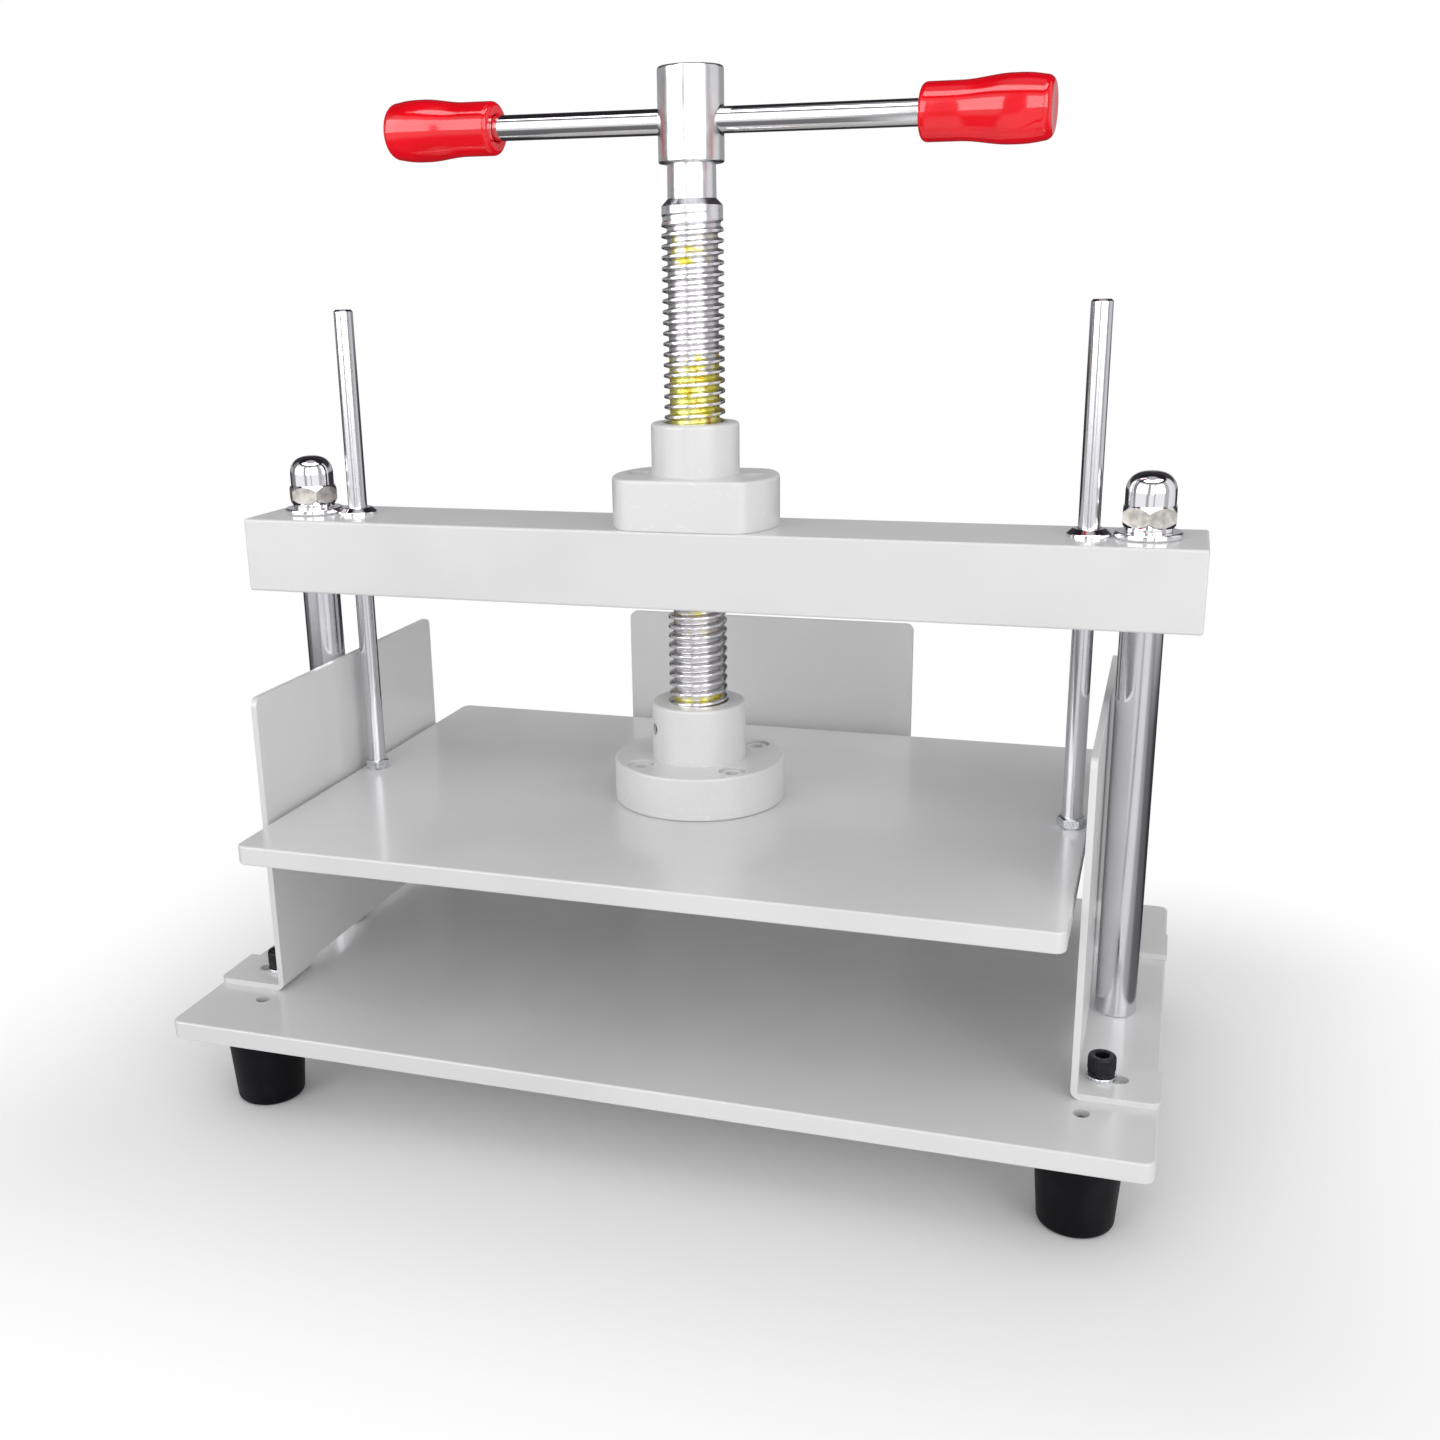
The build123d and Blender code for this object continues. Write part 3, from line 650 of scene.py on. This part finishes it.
def cut_out(mesh, shells):
    """Mesh less the closed shells, by an exact Boolean."""
    name = mesh.name
    block = bpy.data.objects.new("block", mesh)
    cutter = bpy.data.objects.new("cutter", skin("cutter", shells))
    for each in (block, cutter):
        bpy.context.scene.collection.objects.link(each)
    cut = block.modifiers.new("cut", "BOOLEAN")
    cut.operation = "DIFFERENCE"
    cut.object = cutter
    cut.solver = "EXACT"
    result = bpy.data.meshes.new_from_object(block.evaluated_get(bpy.context.evaluated_depsgraph_get()))
    for each in (block, cutter):
        bpy.data.objects.remove(each)
    mesh.name = f"{name}_uncut"
    result.name = name
    return result


# Frame

def make_base():
    dressed("base_plate", "painted_base", "enamel", 0.00035)
    dressed("crossbeam", "painted_crossbeam", "enamel", 0.0004)
    dressed("left_guard", "painted_left_guard", "enamel", 0.0005)
    dressed("right_guard", "painted_right_guard", "enamel", 0.0005)
    dressed("back_guard", "painted_back_guard", "enamel", 0.0005)
    make_screw_nut()


def make_screw_nut():
    """Flanged nut, its flat front and back passing softly into the round sides.

    The flange's radius is the smooth minimum -k log(e^(-r/k) + e^(-d/k)) of the circle's radius r and
    the distance d of the flats in each direction.
    """
    sides = 288
    low, high = span("screw_nut")
    flange_top = high[2] - 20.5 * MM
    bore, spigot, boss, circle = 12.4 * MM, 15.9 * MM, 17.5 * MM, high[0]
    softness = 1.9 * MM
    flats = high[1] / np.maximum(np.abs(np.sin(angles_of(sides))), 0.5)
    flange = -softness * np.log(np.exp(-circle / softness) + np.exp(-flats / softness))
    rim = 1.3 * MM
    quarter = np.linspace(0, math.pi / 2, 6)
    rows = [(bore, low[2]), (spigot, low[2]), (spigot, BEAM_TOP), (flange - 0.3 * MM, BEAM_TOP)]
    rows += [(flange, BEAM_TOP + 0.3 * MM)]
    rows += [(flange - rim * (1 - math.cos(a)), flange_top - rim * (1 - math.sin(a))) for a in quarter]
    boss_line = rounded(
        [(boss + 6 * MM, flange_top), (boss, flange_top), (boss, high[2]), (bore, high[2]), (bore, low[2])],
        [0, 1.2 * MM, 1.4 * MM, 0.7 * MM, 0], 6,
    )
    rows += [*boss_line[1:]]
    nut = skin("painted_screw_nut", [rings(rows, sides)])
    screws_low, screws_high = span("nut_screws")
    head = (screws_high[1] - screws_low[1]) / 2 + 0.5 * MM
    seat = screws_high[2] - 6 * MM
    well = [(0, seat), (head, seat), (head, high[2] + 5 * MM), (0, high[2] + 5 * MM)]
    wells = [
        moved(rings(well, 96), (side * (screws_high[0] - head + 0.5 * MM), 0, 0)) for side in (-1, 1)
    ]
    mesh = cut_out(nut, wells)
    piece("painted_screw_nut", mesh, "cast_enamel", "frame", ["screw_nut"], 0.00025)


def make_feet():
    """Tapered rubber feet with a rounded rim and a recess below, and what holds them."""
    low, high = span("rubber_feet")
    height = high[2]
    top = 16.25 * MM
    bottom = 13.75 * MM
    recess = 8 * MM
    hole = 3.3 * MM
    corners = [
        (hole, height), (hole, 16 * MM), (recess, 16 * MM), (recess, 0),
        (bottom, 0), (top, height), (hole, height),
    ]
    profile = rounded(corners, [0, 0.3 * MM, 0.3 * MM, 0.8 * MM, 2.2 * MM, 0.9 * MM, 0], 6)
    places = corners_of("rubber_feet", top)
    shells = [moved(rings(profile, 112), (x, y, 0)) for x, y in places]
    piece("rubber_foot_set", skin("rubber_foot_set", shells), "rubber", "frame", ["rubber_feet"])
    dressed("foot_washers", "foot_washer_set", "zinc")
    dressed("foot_screws", "foot_screw_set", "black_oxide")


def make_columns():
    """Ground columns with a small chamfer at the foot, and the bolts below them."""
    radius = 8 * MM
    bottom = BASE_TOP
    top = span("crossbeam")[0][2]
    corners = [(0, bottom), (radius - 0.5 * MM, bottom), (radius, bottom + 0.5 * MM)]
    corners += [(radius, top - 0.05 * MM), (0, top - 0.05 * MM)]
    profile = rounded(corners, [0, 0.1 * MM, 0.1 * MM, 0, 0], 2)
    for side, (x, y) in zip(("left", "right"), COLUMN_PLACES):
        mesh = skin(f"{side}_ground_column", [moved(rings(profile, 128), (x, y, 0))])
        piece(f"{side}_ground_column", mesh, "ground_steel", "frame", [f"{side}_column"])
    dressed("column_bolt_washers", "column_bolt_washer_set", "zinc")
    dressed("column_bolts", "column_bolt_set", "black_oxide", 0.0002)


# How far the hexagon nuts on the columns and on the guide rods are turned, left and right, in degrees
ACORN_TURNS = (37, 1)
LOCK_NUT_TURNS = (31, 33)


def make_column_tops():
    """Polished washers and acorn nuts: a turned foot, a hexagon and a dome, each in its own finish.

    The dome is a superellipse of power 2.5 on a short cylinder.
    """
    washer_top = span("column_washers")[1][2]
    washer_radius = span("column_washers")[1][0] - COLUMN_X
    washer = flat_ring(washer_radius, 6.2 * MM, washer_top - BEAM_TOP, 0.8 * MM)
    shells = [moved(washer, (x, y, BEAM_TOP)) for x, y in COLUMN_PLACES]
    piece("polished_column_washers", skin("polished_column_washers", shells), "chrome", "frame", ["column_washers"])
    top = span("acorn_nuts")[1][2] - washer_top
    flats, foot_height, hex_top = 19 * MM, 1.6 * MM, 10 * MM
    foot_radius, dome_radius, dome_height = 8.9 * MM, 9.15 * MM, 8.2 * MM
    bore = 6.1 * MM
    foot_rows = rounded([(bore, 0), (foot_radius, 0), (foot_radius, foot_height + 0.6 * MM), (bore, foot_height)], 0.2 * MM)
    corner = hexagon_radius(flats, 120)
    face = 0.475 * flats
    cut = (corner - face) * 1.25
    low, high = foot_height + cut, hex_top - cut
    flats_rows = [(bore, low), (corner, low), (corner, high), (bore, high), (bore, low)]
    low_cone = [(bore, foot_height), (face, foot_height), (corner, low), (bore, low), (bore, foot_height)]
    high_cone = [(bore, hex_top), (bore, high), (corner, high), (face, hex_top), (bore, hex_top)]
    arc = np.linspace(0, math.pi / 2, 26)
    dome_rows = [(dome_radius - 1.2 * MM, hex_top - 0.5 * MM), (dome_radius, hex_top - 0.4 * MM)]
    dome_rows += [
        (dome_radius * max(math.cos(a), 0) ** 0.8, top - dome_height + dome_height * math.sin(a) ** 0.8) for a in arc
    ]
    turned = list(zip(ACORN_TURNS, COLUMN_PLACES))
    hexes = [
        moved(rings(flats_rows, 120, math.radians(turn)), (x, y, washer_top)) for turn, (x, y) in turned
    ]
    polished = [
        moved(rings(rows, 120, math.radians(turn)), (x, y, washer_top))
        for rows in (foot_rows, low_cone, high_cone, dome_rows)
        for turn, (x, y) in turned
    ]
    piece("acorn_hexagons", skin("acorn_hexagons", hexes), "raw_steel", "frame", ["acorn_nuts"])
    piece("acorn_domes", skin("acorn_domes", polished), "chrome", "frame", ["acorn_nuts"])


def make_bushes():
    """Sleeves with a domed flange on the crossbeam."""
    flange_top = span("left_guide_bush")[1][2]
    bottom = span("left_guide_bush")[0][2]
    bore, sleeve, flange = 4.06 * MM, 6 * MM, 8.5 * MM
    corners = [
        (bore, bottom), (sleeve, bottom), (sleeve, BEAM_TOP), (flange, BEAM_TOP),
        (flange - 0.2 * MM, BEAM_TOP + 1.2 * MM), (flange - 2.4 * MM, flange_top),
        (bore, flange_top), (bore, bottom),
    ]
    profile = rounded(corners, [0, 0, 0, 0.15 * MM, 0.9 * MM, 1.6 * MM, 0.4 * MM, 0], 6)
    for side, (x, y) in zip(("left", "right"), ROD_PLACES):
        mesh = skin(f"{side}_bush_flange", [moved(rings(profile, 112), (x, y, 0))])
        piece(f"{side}_bush_flange", mesh, "chrome", "frame", [f"{side}_guide_bush"])


def make_guard_fasteners():
    """Flat washers, split lock washers and knurled socket screws in the feet of the side guards."""
    low, high = span("guard_flat_washers")
    places = corners_of("guard_flat_washers", 5.5 * MM)
    flat = flat_ring(5.5 * MM, 3.2 * MM, high[2] - low[2], 0.3 * MM)
    shells = [moved(flat, (x, y, low[2])) for x, y in places]
    piece("guard_washer_set", skin("guard_washer_set", shells), "zinc", "frame", ["guard_flat_washers"])
    low, high = span("guard_lock_washers")
    thickness = high[2] - low[2]
    around = np.linspace(0.05, FULL_TURN - 0.05, 72)
    lift = thickness * 0.12 * around / FULL_TURN
    section = rounded(
        [(3.2, 0), (4.9, 0), (4.9, 0.88), (3.2, 0.88), (3.2, 0)], [0, 0.12, 0.12, 0.12, 0], 2
    ) * [MM, thickness]
    coil = np.stack([
        section[None, :, 0] * np.cos(around)[:, None],
        section[None, :, 0] * np.sin(around)[:, None],
        section[None, :, 1] + lift[:, None],
    ], axis=-1)
    hub = coil.mean(axis=1, keepdims=True)
    coil = np.concatenate([np.broadcast_to(hub[:1], coil[:1].shape), coil, np.broadcast_to(hub[-1:], coil[:1].shape)])
    shells = [moved(coil[::-1], (x, y, low[2])) for x, y in places]
    mesh = skin("lock_washer_set", shells)
    piece("lock_washer_set", mesh, "black_oxide", "frame", ["guard_lock_washers"])
    seat = high[2]
    screw = socket_cap(10 * MM, 6 * MM, 5 * MM, 12 * MM, 6 * MM, knurls=40, sides=240)
    shells = [moved(screw, (x, y, seat)) for x, y in places]
    piece("guard_screw_set", skin("guard_screw_set", shells), "black_oxide", "frame", ["guard_screws"])
    dressed("back_guard_screws", "back_screw_set", "black_oxide", 0.0001)


def make_nut_screws():
    """Flange screws, painted over with the casting they hold."""
    for node, body in (("nut_screws", "frame"), ("housing_screws", "platen")):
        dressed(node, f"painted_{node}", "cast_enamel", 0.0003)


# What rises and falls

def make_platen():
    dressed("pressing_plate", "painted_pressing_plate", "enamel", 0.00035)
    dressed("thrust_housing", "painted_thrust_housing", "cast_enamel", 0.0003)
    dressed("retaining_screw", "retaining_grub", "black_oxide", 0.0001)
    dressed("thrust_washer", "bronze_washer", "bronze")
    low, high = span("left_guide_rod")
    nut_top = span("rod_lock_nuts")[1][2]
    radius, stud = 4 * MM, 3 * MM
    corners = [
        (0, low[2]), (stud, low[2]), (stud, nut_top), (radius, nut_top),
        (radius, high[2] - 0.8 * MM), (radius - 0.8 * MM, high[2]), (0, high[2]),
    ]
    profile = rounded(corners, [0, 0, 0, 0.1 * MM, 0.3 * MM, 0.3 * MM, 0], 3)
    nut = hexagon_body(10 * MM, nut_top - PLATE_TOP, 3 * MM)
    shells = []
    for side, turn, (x, y) in zip(("left", "right"), LOCK_NUT_TURNS, ROD_PLACES):
        mesh = skin(f"{side}_ground_rod", [moved(rings(profile, 112), (x, y, 0))])
        piece(f"{side}_ground_rod", mesh, "ground_steel", "platen", [f"{side}_guide_rod"])
        shells.append(moved(rings(nut, 120, math.radians(turn)), (x, y, PLATE_TOP)))
    piece("lock_nut_set", skin("lock_nut_set", shells), "zinc", "platen", ["rod_lock_nuts"], 0.00012)


# What turns

BAR_RADIUS = 4.75 * MM
GRIP_MIDDLES = [sum(span(f"{side}_grip")) / 2 for side in ("left", "right")]
BAR_DIRECTION = (GRIP_MIDDLES[1] - GRIP_MIDDLES[0]) / np.linalg.norm(GRIP_MIDDLES[1] - GRIP_MIDDLES[0])
BAR_MIDDLE = sum(GRIP_MIDDLES) / 2
BAR_CROSSING = BAR_MIDDLE - BAR_DIRECTION * BAR_MIDDLE[0] / BAR_DIRECTION[0]
BAR_HALF_LENGTH = (span("turning_bar")[1][0] - BAR_MIDDLE[0]) / BAR_DIRECTION[0]


ROWS_PER_TURN = 24
RUN_OUT_TURNS = 1.7


def thread_rows(sides):
    """Right-hand trapezoidal thread with worn, rounded edges.

    With the phase p of height over pitch less the angle, the share s of the thread's depth is
    0.42 + 0.72 cos p, held between 0 and 1 and smoothed as 3 s^2 - 2 s^3. Above its end each groove grows
    shallower with the square of the turns that are left of its run-out.
    """
    top = THREAD_END + (RUN_OUT_TURNS + 0.4) * PITCH
    count = round((top - THREAD_START) / PITCH * ROWS_PER_TURN)
    height = np.linspace(THREAD_START, top, count)[:, None]
    phase = FULL_TURN * (height - THREAD_START) / PITCH - angles_of(sides)[None, :]
    share = np.clip(0.42 + 0.72 * np.cos(phase), 0, 1)
    radius = MINOR + (MAJOR - MINOR) * share * share * (3 - 2 * share)
    from_groove = phase % FULL_TURN - math.pi
    turns_above = (height - THREAD_END) / PITCH - from_groove / FULL_TURN
    left = 1 - np.clip(turns_above / RUN_OUT_TURNS, 0, 1)
    return list(zip(BLANK + (radius - BLANK) * left * left, np.broadcast_to(height, radius.shape)))


def make_lead_screw():
    """Journal with its groove, thread, plain blank, shoulder and neck, up to the hub."""
    sides = 72
    journal = 10 * MM
    groove = 7.6 * MM
    groove_low, groove_high = THREAD_START - 6.3 * MM, THREAD_START - 1.7 * MM
    below = [
        (0, SPINDLE_END), (journal - 0.8 * MM, SPINDLE_END), (journal, SPINDLE_END + 0.8 * MM),
        (journal, groove_low), (groove, groove_low), (groove, groove_high), (9.7 * MM, groove_high),
    ]
    blank_top = THREAD_END + 9 * MM
    neck = 9.25 * MM
    above = rounded([
        (BLANK, blank_top - 0.5 * MM), (BLANK, blank_top), (neck + 0.1 * MM, blank_top + 2.5 * MM),
        (neck, HUB_START), (neck - 0.5 * MM, HUB_START + 0.5 * MM), (0, HUB_START + 0.5 * MM),
    ], [0, 0.3 * MM, 0.3 * MM, 0, 0, 0], 4)
    screw = rings([*below, *thread_rows(sides), *above], sides)
    piece("greased_lead_screw", skin("greased_lead_screw", [screw]), "greased_thread", "spindle", ["lead_screw"])


def make_hub():
    """Cross-drilled hub: turned shell with the bore and its countersunk mouths cut out."""
    radius = 12.5 * MM
    corners = [(0, HUB_START), (radius, HUB_START), (radius, HUB_TOP), (0, HUB_TOP)]
    profile = rounded(corners, [0, 0.9 * MM, 1.1 * MM, 0], 5)
    hub = skin("turned_hub", [rings(profile, 144)])
    mouth, flare, reach = 11.3 * MM, 3 * MM, 5 * MM
    bore = BAR_RADIUS + 0.12 * MM
    cutter_rows = [
        (0, -mouth - reach), (bore + flare, -mouth - reach), (bore, -mouth), (bore, mouth),
        (bore + flare, mouth + reach), (0, mouth + reach),
    ]
    mesh = cut_out(hub, [laid_along(rings(cutter_rows, 96), BAR_CROSSING, BAR_DIRECTION)])
    piece("turned_hub", mesh, "turned_steel", "spindle", ["lead_screw"], 0.0001)


def make_bar():
    half = BAR_HALF_LENGTH
    chamfer = 0.8 * MM
    corners = [
        (0, -half), (BAR_RADIUS - chamfer, -half), (BAR_RADIUS, chamfer - half),
        (BAR_RADIUS, half - chamfer), (BAR_RADIUS - chamfer, half), (0, half),
    ]
    profile = rounded(corners, [0, 0.2 * MM, 0.2 * MM, 0.2 * MM, 0.2 * MM, 0], 2)
    mesh = skin("ground_turning_bar", [laid_along(rings(profile, 112), BAR_MIDDLE, BAR_DIRECTION)])
    piece("ground_turning_bar", mesh, "drawn_bar", "spindle", ["turning_bar"])


def grip_profile():
    """Radius along the grip: a rounded inner lip, a straight waist, a swelling and a rounded outer rim.

    The swelling is a raised cosine that is added to the waist's radius.
    """
    length = 46.2 * MM
    start = np.linalg.norm(GRIP_MIDDLES[1] - GRIP_MIDDLES[0]) / 2 - length / 2
    tip = start + length
    waist, swelling = 10.1 * MM, 1.6 * MM
    along = np.linspace(start + 2.2 * MM, tip - 3.4 * MM, 40)
    share = (along - start) / length
    rise = np.clip((share - 0.30) / 0.38, 0, 1)
    fall = np.clip((share - 0.74) / 0.26, 0, 1)
    radius = waist + swelling * (rise * rise * (3 - 2 * rise)) - 1.7 * MM * fall * fall
    body = np.stack([radius, along], axis=-1)
    lip_arc = np.linspace(math.pi, math.pi / 2, 7)[:-1]
    lip = np.stack([waist - 2 * MM + 2 * MM * np.sin(lip_arc), start + 2.2 * MM + 2.2 * MM * np.cos(lip_arc)], -1)
    rim_arc = np.linspace(0.25, math.pi / 2, 7)
    rim_radius = radius[-1]
    rim = np.stack([rim_radius - 3 * MM + 3 * MM * np.cos(rim_arc), tip - 3.4 * MM + 3.4 * MM * np.sin(rim_arc)], -1)
    end = np.array([[rim_radius - 4.2 * MM, tip - 0.05 * MM], [4 * MM, tip - 0.35 * MM], [0, tip - 0.4 * MM]])
    mouth = np.array([[BAR_RADIUS, start + 1.5 * MM], [BAR_RADIUS + 0.35 * MM, start + 0.4 * MM], [BAR_RADIUS + 1.1 * MM, start]])
    return np.concatenate([mouth, lip, body, rim, end])


def make_grips():
    for side, sign in (("left", -1), ("right", 1)):
        mesh = skin(f"{side}_moulded_grip", [laid_along(rings(grip_profile(), 112), BAR_MIDDLE, sign * BAR_DIRECTION)])
        piece(f"{side}_moulded_grip", mesh, "red_grip", "spindle", [f"{side}_grip"])


# Studio

# What mirrors find round the press: degrees from the front of the room, right positive, and how bright.
# The walls stand far away, the table lies near the press and has less light on it.
ROOM_FRONT = math.atan2(CAMERA_PLACE[1], CAMERA_PLACE[0])
WALL_BANDS = [
    (-180, 0.02), (-124, 0.02), (-114, 0.22), (-90, 0.26), (-84, 1.0), (-34, 1.0), (-30, 0.42), (-22, 0.42),
    (-17, 1.0), (0, 1.0), (2, 0.50), (6, 0.50), (8, 1.0), (46, 1.0), (50, 0.52), (66, 0.48),
    (72, 0.90), (108, 0.80), (118, 0.03), (180, 0.02),
]
TABLE_BANDS = [
    (-180, 0.02), (-112, 0.02), (-100, 0.10), (-60, 0.15), (-32, 0.20), (-25, 0.95), (9, 0.95), (11, 0.08),
    (14, 0.08), (17, 1.0), (43, 1.0), (48, 0.48), (60, 0.44), (65, 0.17), (90, 0.13), (97, 0.03), (180, 0.02),
]
PANEL_GAIN = 3.6
MIRROR_LIGHT = (0.95, 0.95, 0.97)
MIRROR_DARK = (0.020, 0.017, 0.022)
FLOOR_HALF = 6.0
FLOOR_WHITE = (0.90, 0.90, 0.90)
WORLD_LEVEL = 0.79


def room_place(x, y):
    """How far a level direction points to the front of the room and to its right."""
    toward = x * math.cos(ROOM_FRONT) + y * math.sin(ROOM_FRONT)
    beside = y * math.cos(ROOM_FRONT) - x * math.sin(ROOM_FRONT)
    return toward, beside


def room_bands(graph, x, y, bands):
    """Brightness by direction, as a ramp over atan2(beside, toward)."""
    toward, beside = room_place(x, y)
    share = beside.math("ARCTAN2", toward) / FULL_TURN + 0.5
    stops = [((degrees + 180) / 360, (level,) * 3) for degrees, level in bands]
    return graph.node("ShaderNodeValToRGB", {"stops": stops}, {"Fac": share})


def make_floor():
    """Pale floor with the object's shadow, which turns pure white to the camera away from the object.

    Mirrors find the matte floor near the object and the bands of the room further out.
    """
    corners = [(-FLOOR_HALF, -FLOOR_HALF, 0), (FLOOR_HALF, -FLOOR_HALF, 0)]
    corners += [(FLOOR_HALF, FLOOR_HALF, 0), (-FLOOR_HALF, FLOOR_HALF, 0)]
    mesh = bpy.data.meshes.new("floor")
    mesh.from_pydata(corners, [], [(0, 1, 2, 3)])
    floor = bpy.data.objects.new("floor", mesh)
    bpy.context.scene.collection.objects.link(floor)
    material = bpy.data.materials.new("floor")
    material.use_nodes = True
    graph = Graph(material.node_tree)
    vector, x, y, z = graph.place()
    outside = [(each.math("ABSOLUTE") - reach).math("MAXIMUM", 0.0) for each, reach in zip((x, y), cad_box[1])]
    distance = (outside[0] * outside[0] + outside[1] * outside[1]).math("SQRT")
    near = room_bands(graph, x, y, TABLE_BANDS)
    far = room_bands(graph, x, y, WALL_BANDS)
    share = distance.step(0.45, 1.2)
    bands = near * (1 - share) + far * share
    room = graph.node("ShaderNodeEmission", None, {"Color": graph.blend(bands, MIRROR_DARK, MIRROR_LIGHT)})
    matte = graph.node("ShaderNodeBsdfDiffuse", None, {"Color": (*FLOOR_WHITE, 1)})
    white = graph.node("ShaderNodeEmission", None, {"Color": (1, 1, 1, 1)})
    camera, mirror = [
        graph.node("ShaderNodeLightPath", output=name) for name in ("Is Camera Ray", "Is Glossy Ray")
    ]
    seen = graph.node("ShaderNodeMixShader", None, {0: distance.step(0.01, 0.16) * camera, 1: matte, 2: white})
    both = graph.node("ShaderNodeMixShader", None, {0: distance.step(0.0, 0.08) * mirror, 1: seen, 2: room})
    graph.node("ShaderNodeOutputMaterial", None, {"Surface": both})
    mesh.materials.append(material)


def make_world():
    """White to the camera, an even sky on matte surfaces, and a room in mirrors.

    The room has the bands at its sides, where the white ones are lit panels, a dark gap above them,
    a bright strip over its front half, and a grey glow low at the back.
    """
    world = bpy.data.worlds.new("studio")
    world.use_nodes = True
    bpy.context.scene.world = world
    graph = Graph(world.node_tree)
    direction = graph.node("ShaderNodeTexCoord", output="Generated")
    x, y, z = [graph.node("ShaderNodeSeparateXYZ", None, {0: direction}, axis) for axis in range(3)]
    toward, beside = room_place(x, y)
    bands = room_bands(graph, x, y, WALL_BANDS)
    strip = z.step(0.80, 0.84) * z.step(0.98, 0.94) * toward.step(0.0, 0.15)
    ceiling = z.step(0.93, 0.99) * 0.5
    glow = toward.step(-0.2, -0.6) * z.step(0.30, 0.14) * 0.38
    level = (bands * z.step(0.76, 0.66) + strip + ceiling + glow).math("MINIMUM", 1.0)
    panels = bands.step(0.90, 0.97) * z.step(0.60, 0.54) * toward.step(0.0, 0.1)
    gain = (panels + strip).math("MINIMUM", 1.0) * PANEL_GAIN + 1.0
    camera, mirror = [
        graph.node("ShaderNodeLightPath", output=name) for name in ("Is Camera Ray", "Is Glossy Ray")
    ]
    room = graph.node("ShaderNodeBackground", None, {
        "Color": graph.blend(level, MIRROR_DARK, MIRROR_LIGHT),
        "Strength": gain,
    })
    even = graph.node("ShaderNodeBackground", None, {"Color": (1, 1, 1, 1), "Strength": WORLD_LEVEL})
    white = graph.node("ShaderNodeBackground", None, {"Color": (1, 1, 1, 1)})
    hidden = graph.node("ShaderNodeMixShader", None, {0: mirror, 1: even, 2: room})
    both = graph.node("ShaderNodeMixShader", None, {0: camera, 1: hidden, 2: white})
    graph.node("ShaderNodeOutputWorld", None, {"Surface": both})


# Softboxes: name, azimuth from the front in degrees (right positive), elevation, distance, width, height, power
SOFTBOXES = [
    ("front_left_box", -28, 10, 1.5, 0.7, 1.0, 4.3),
    ("front_right_box", 52, 12, 1.5, 0.8, 1.0, 5.2),
    ("overhead_strip", 8, 60, 1.5, 1.6, 0.22, 1.0),
]


def make_lights():
    target = Vector((0, 0, 0.2))
    for name, azimuth, elevation, distance, width, height, power in SOFTBOXES:
        around, up = math.radians(azimuth), math.radians(elevation)
        away = Vector((math.sin(around) * math.cos(up), -math.cos(around) * math.cos(up), math.sin(up)))
        data = bpy.data.lights.new(name, "AREA")
        data.shape = "RECTANGLE"
        data.size, data.size_y = width, height
        data.energy = power
        lamp = bpy.data.objects.new(name, data)
        bpy.context.scene.collection.objects.link(lamp)
        lamp.location = target + away * distance
        lamp.rotation_euler = (-away).to_track_quat("-Z", "Y").to_euler()
        lamp.visible_camera = False
        lamp.visible_glossy = False


make_camera()
make_base()
make_feet()
make_columns()
make_column_tops()
make_bushes()
make_guard_fasteners()
make_nut_screws()
make_platen()
make_lead_screw()
make_hub()
make_bar()
make_grips()
make_floor()
make_world()
make_lights()
bpy.context.scene.view_settings.view_transform = "Standard"
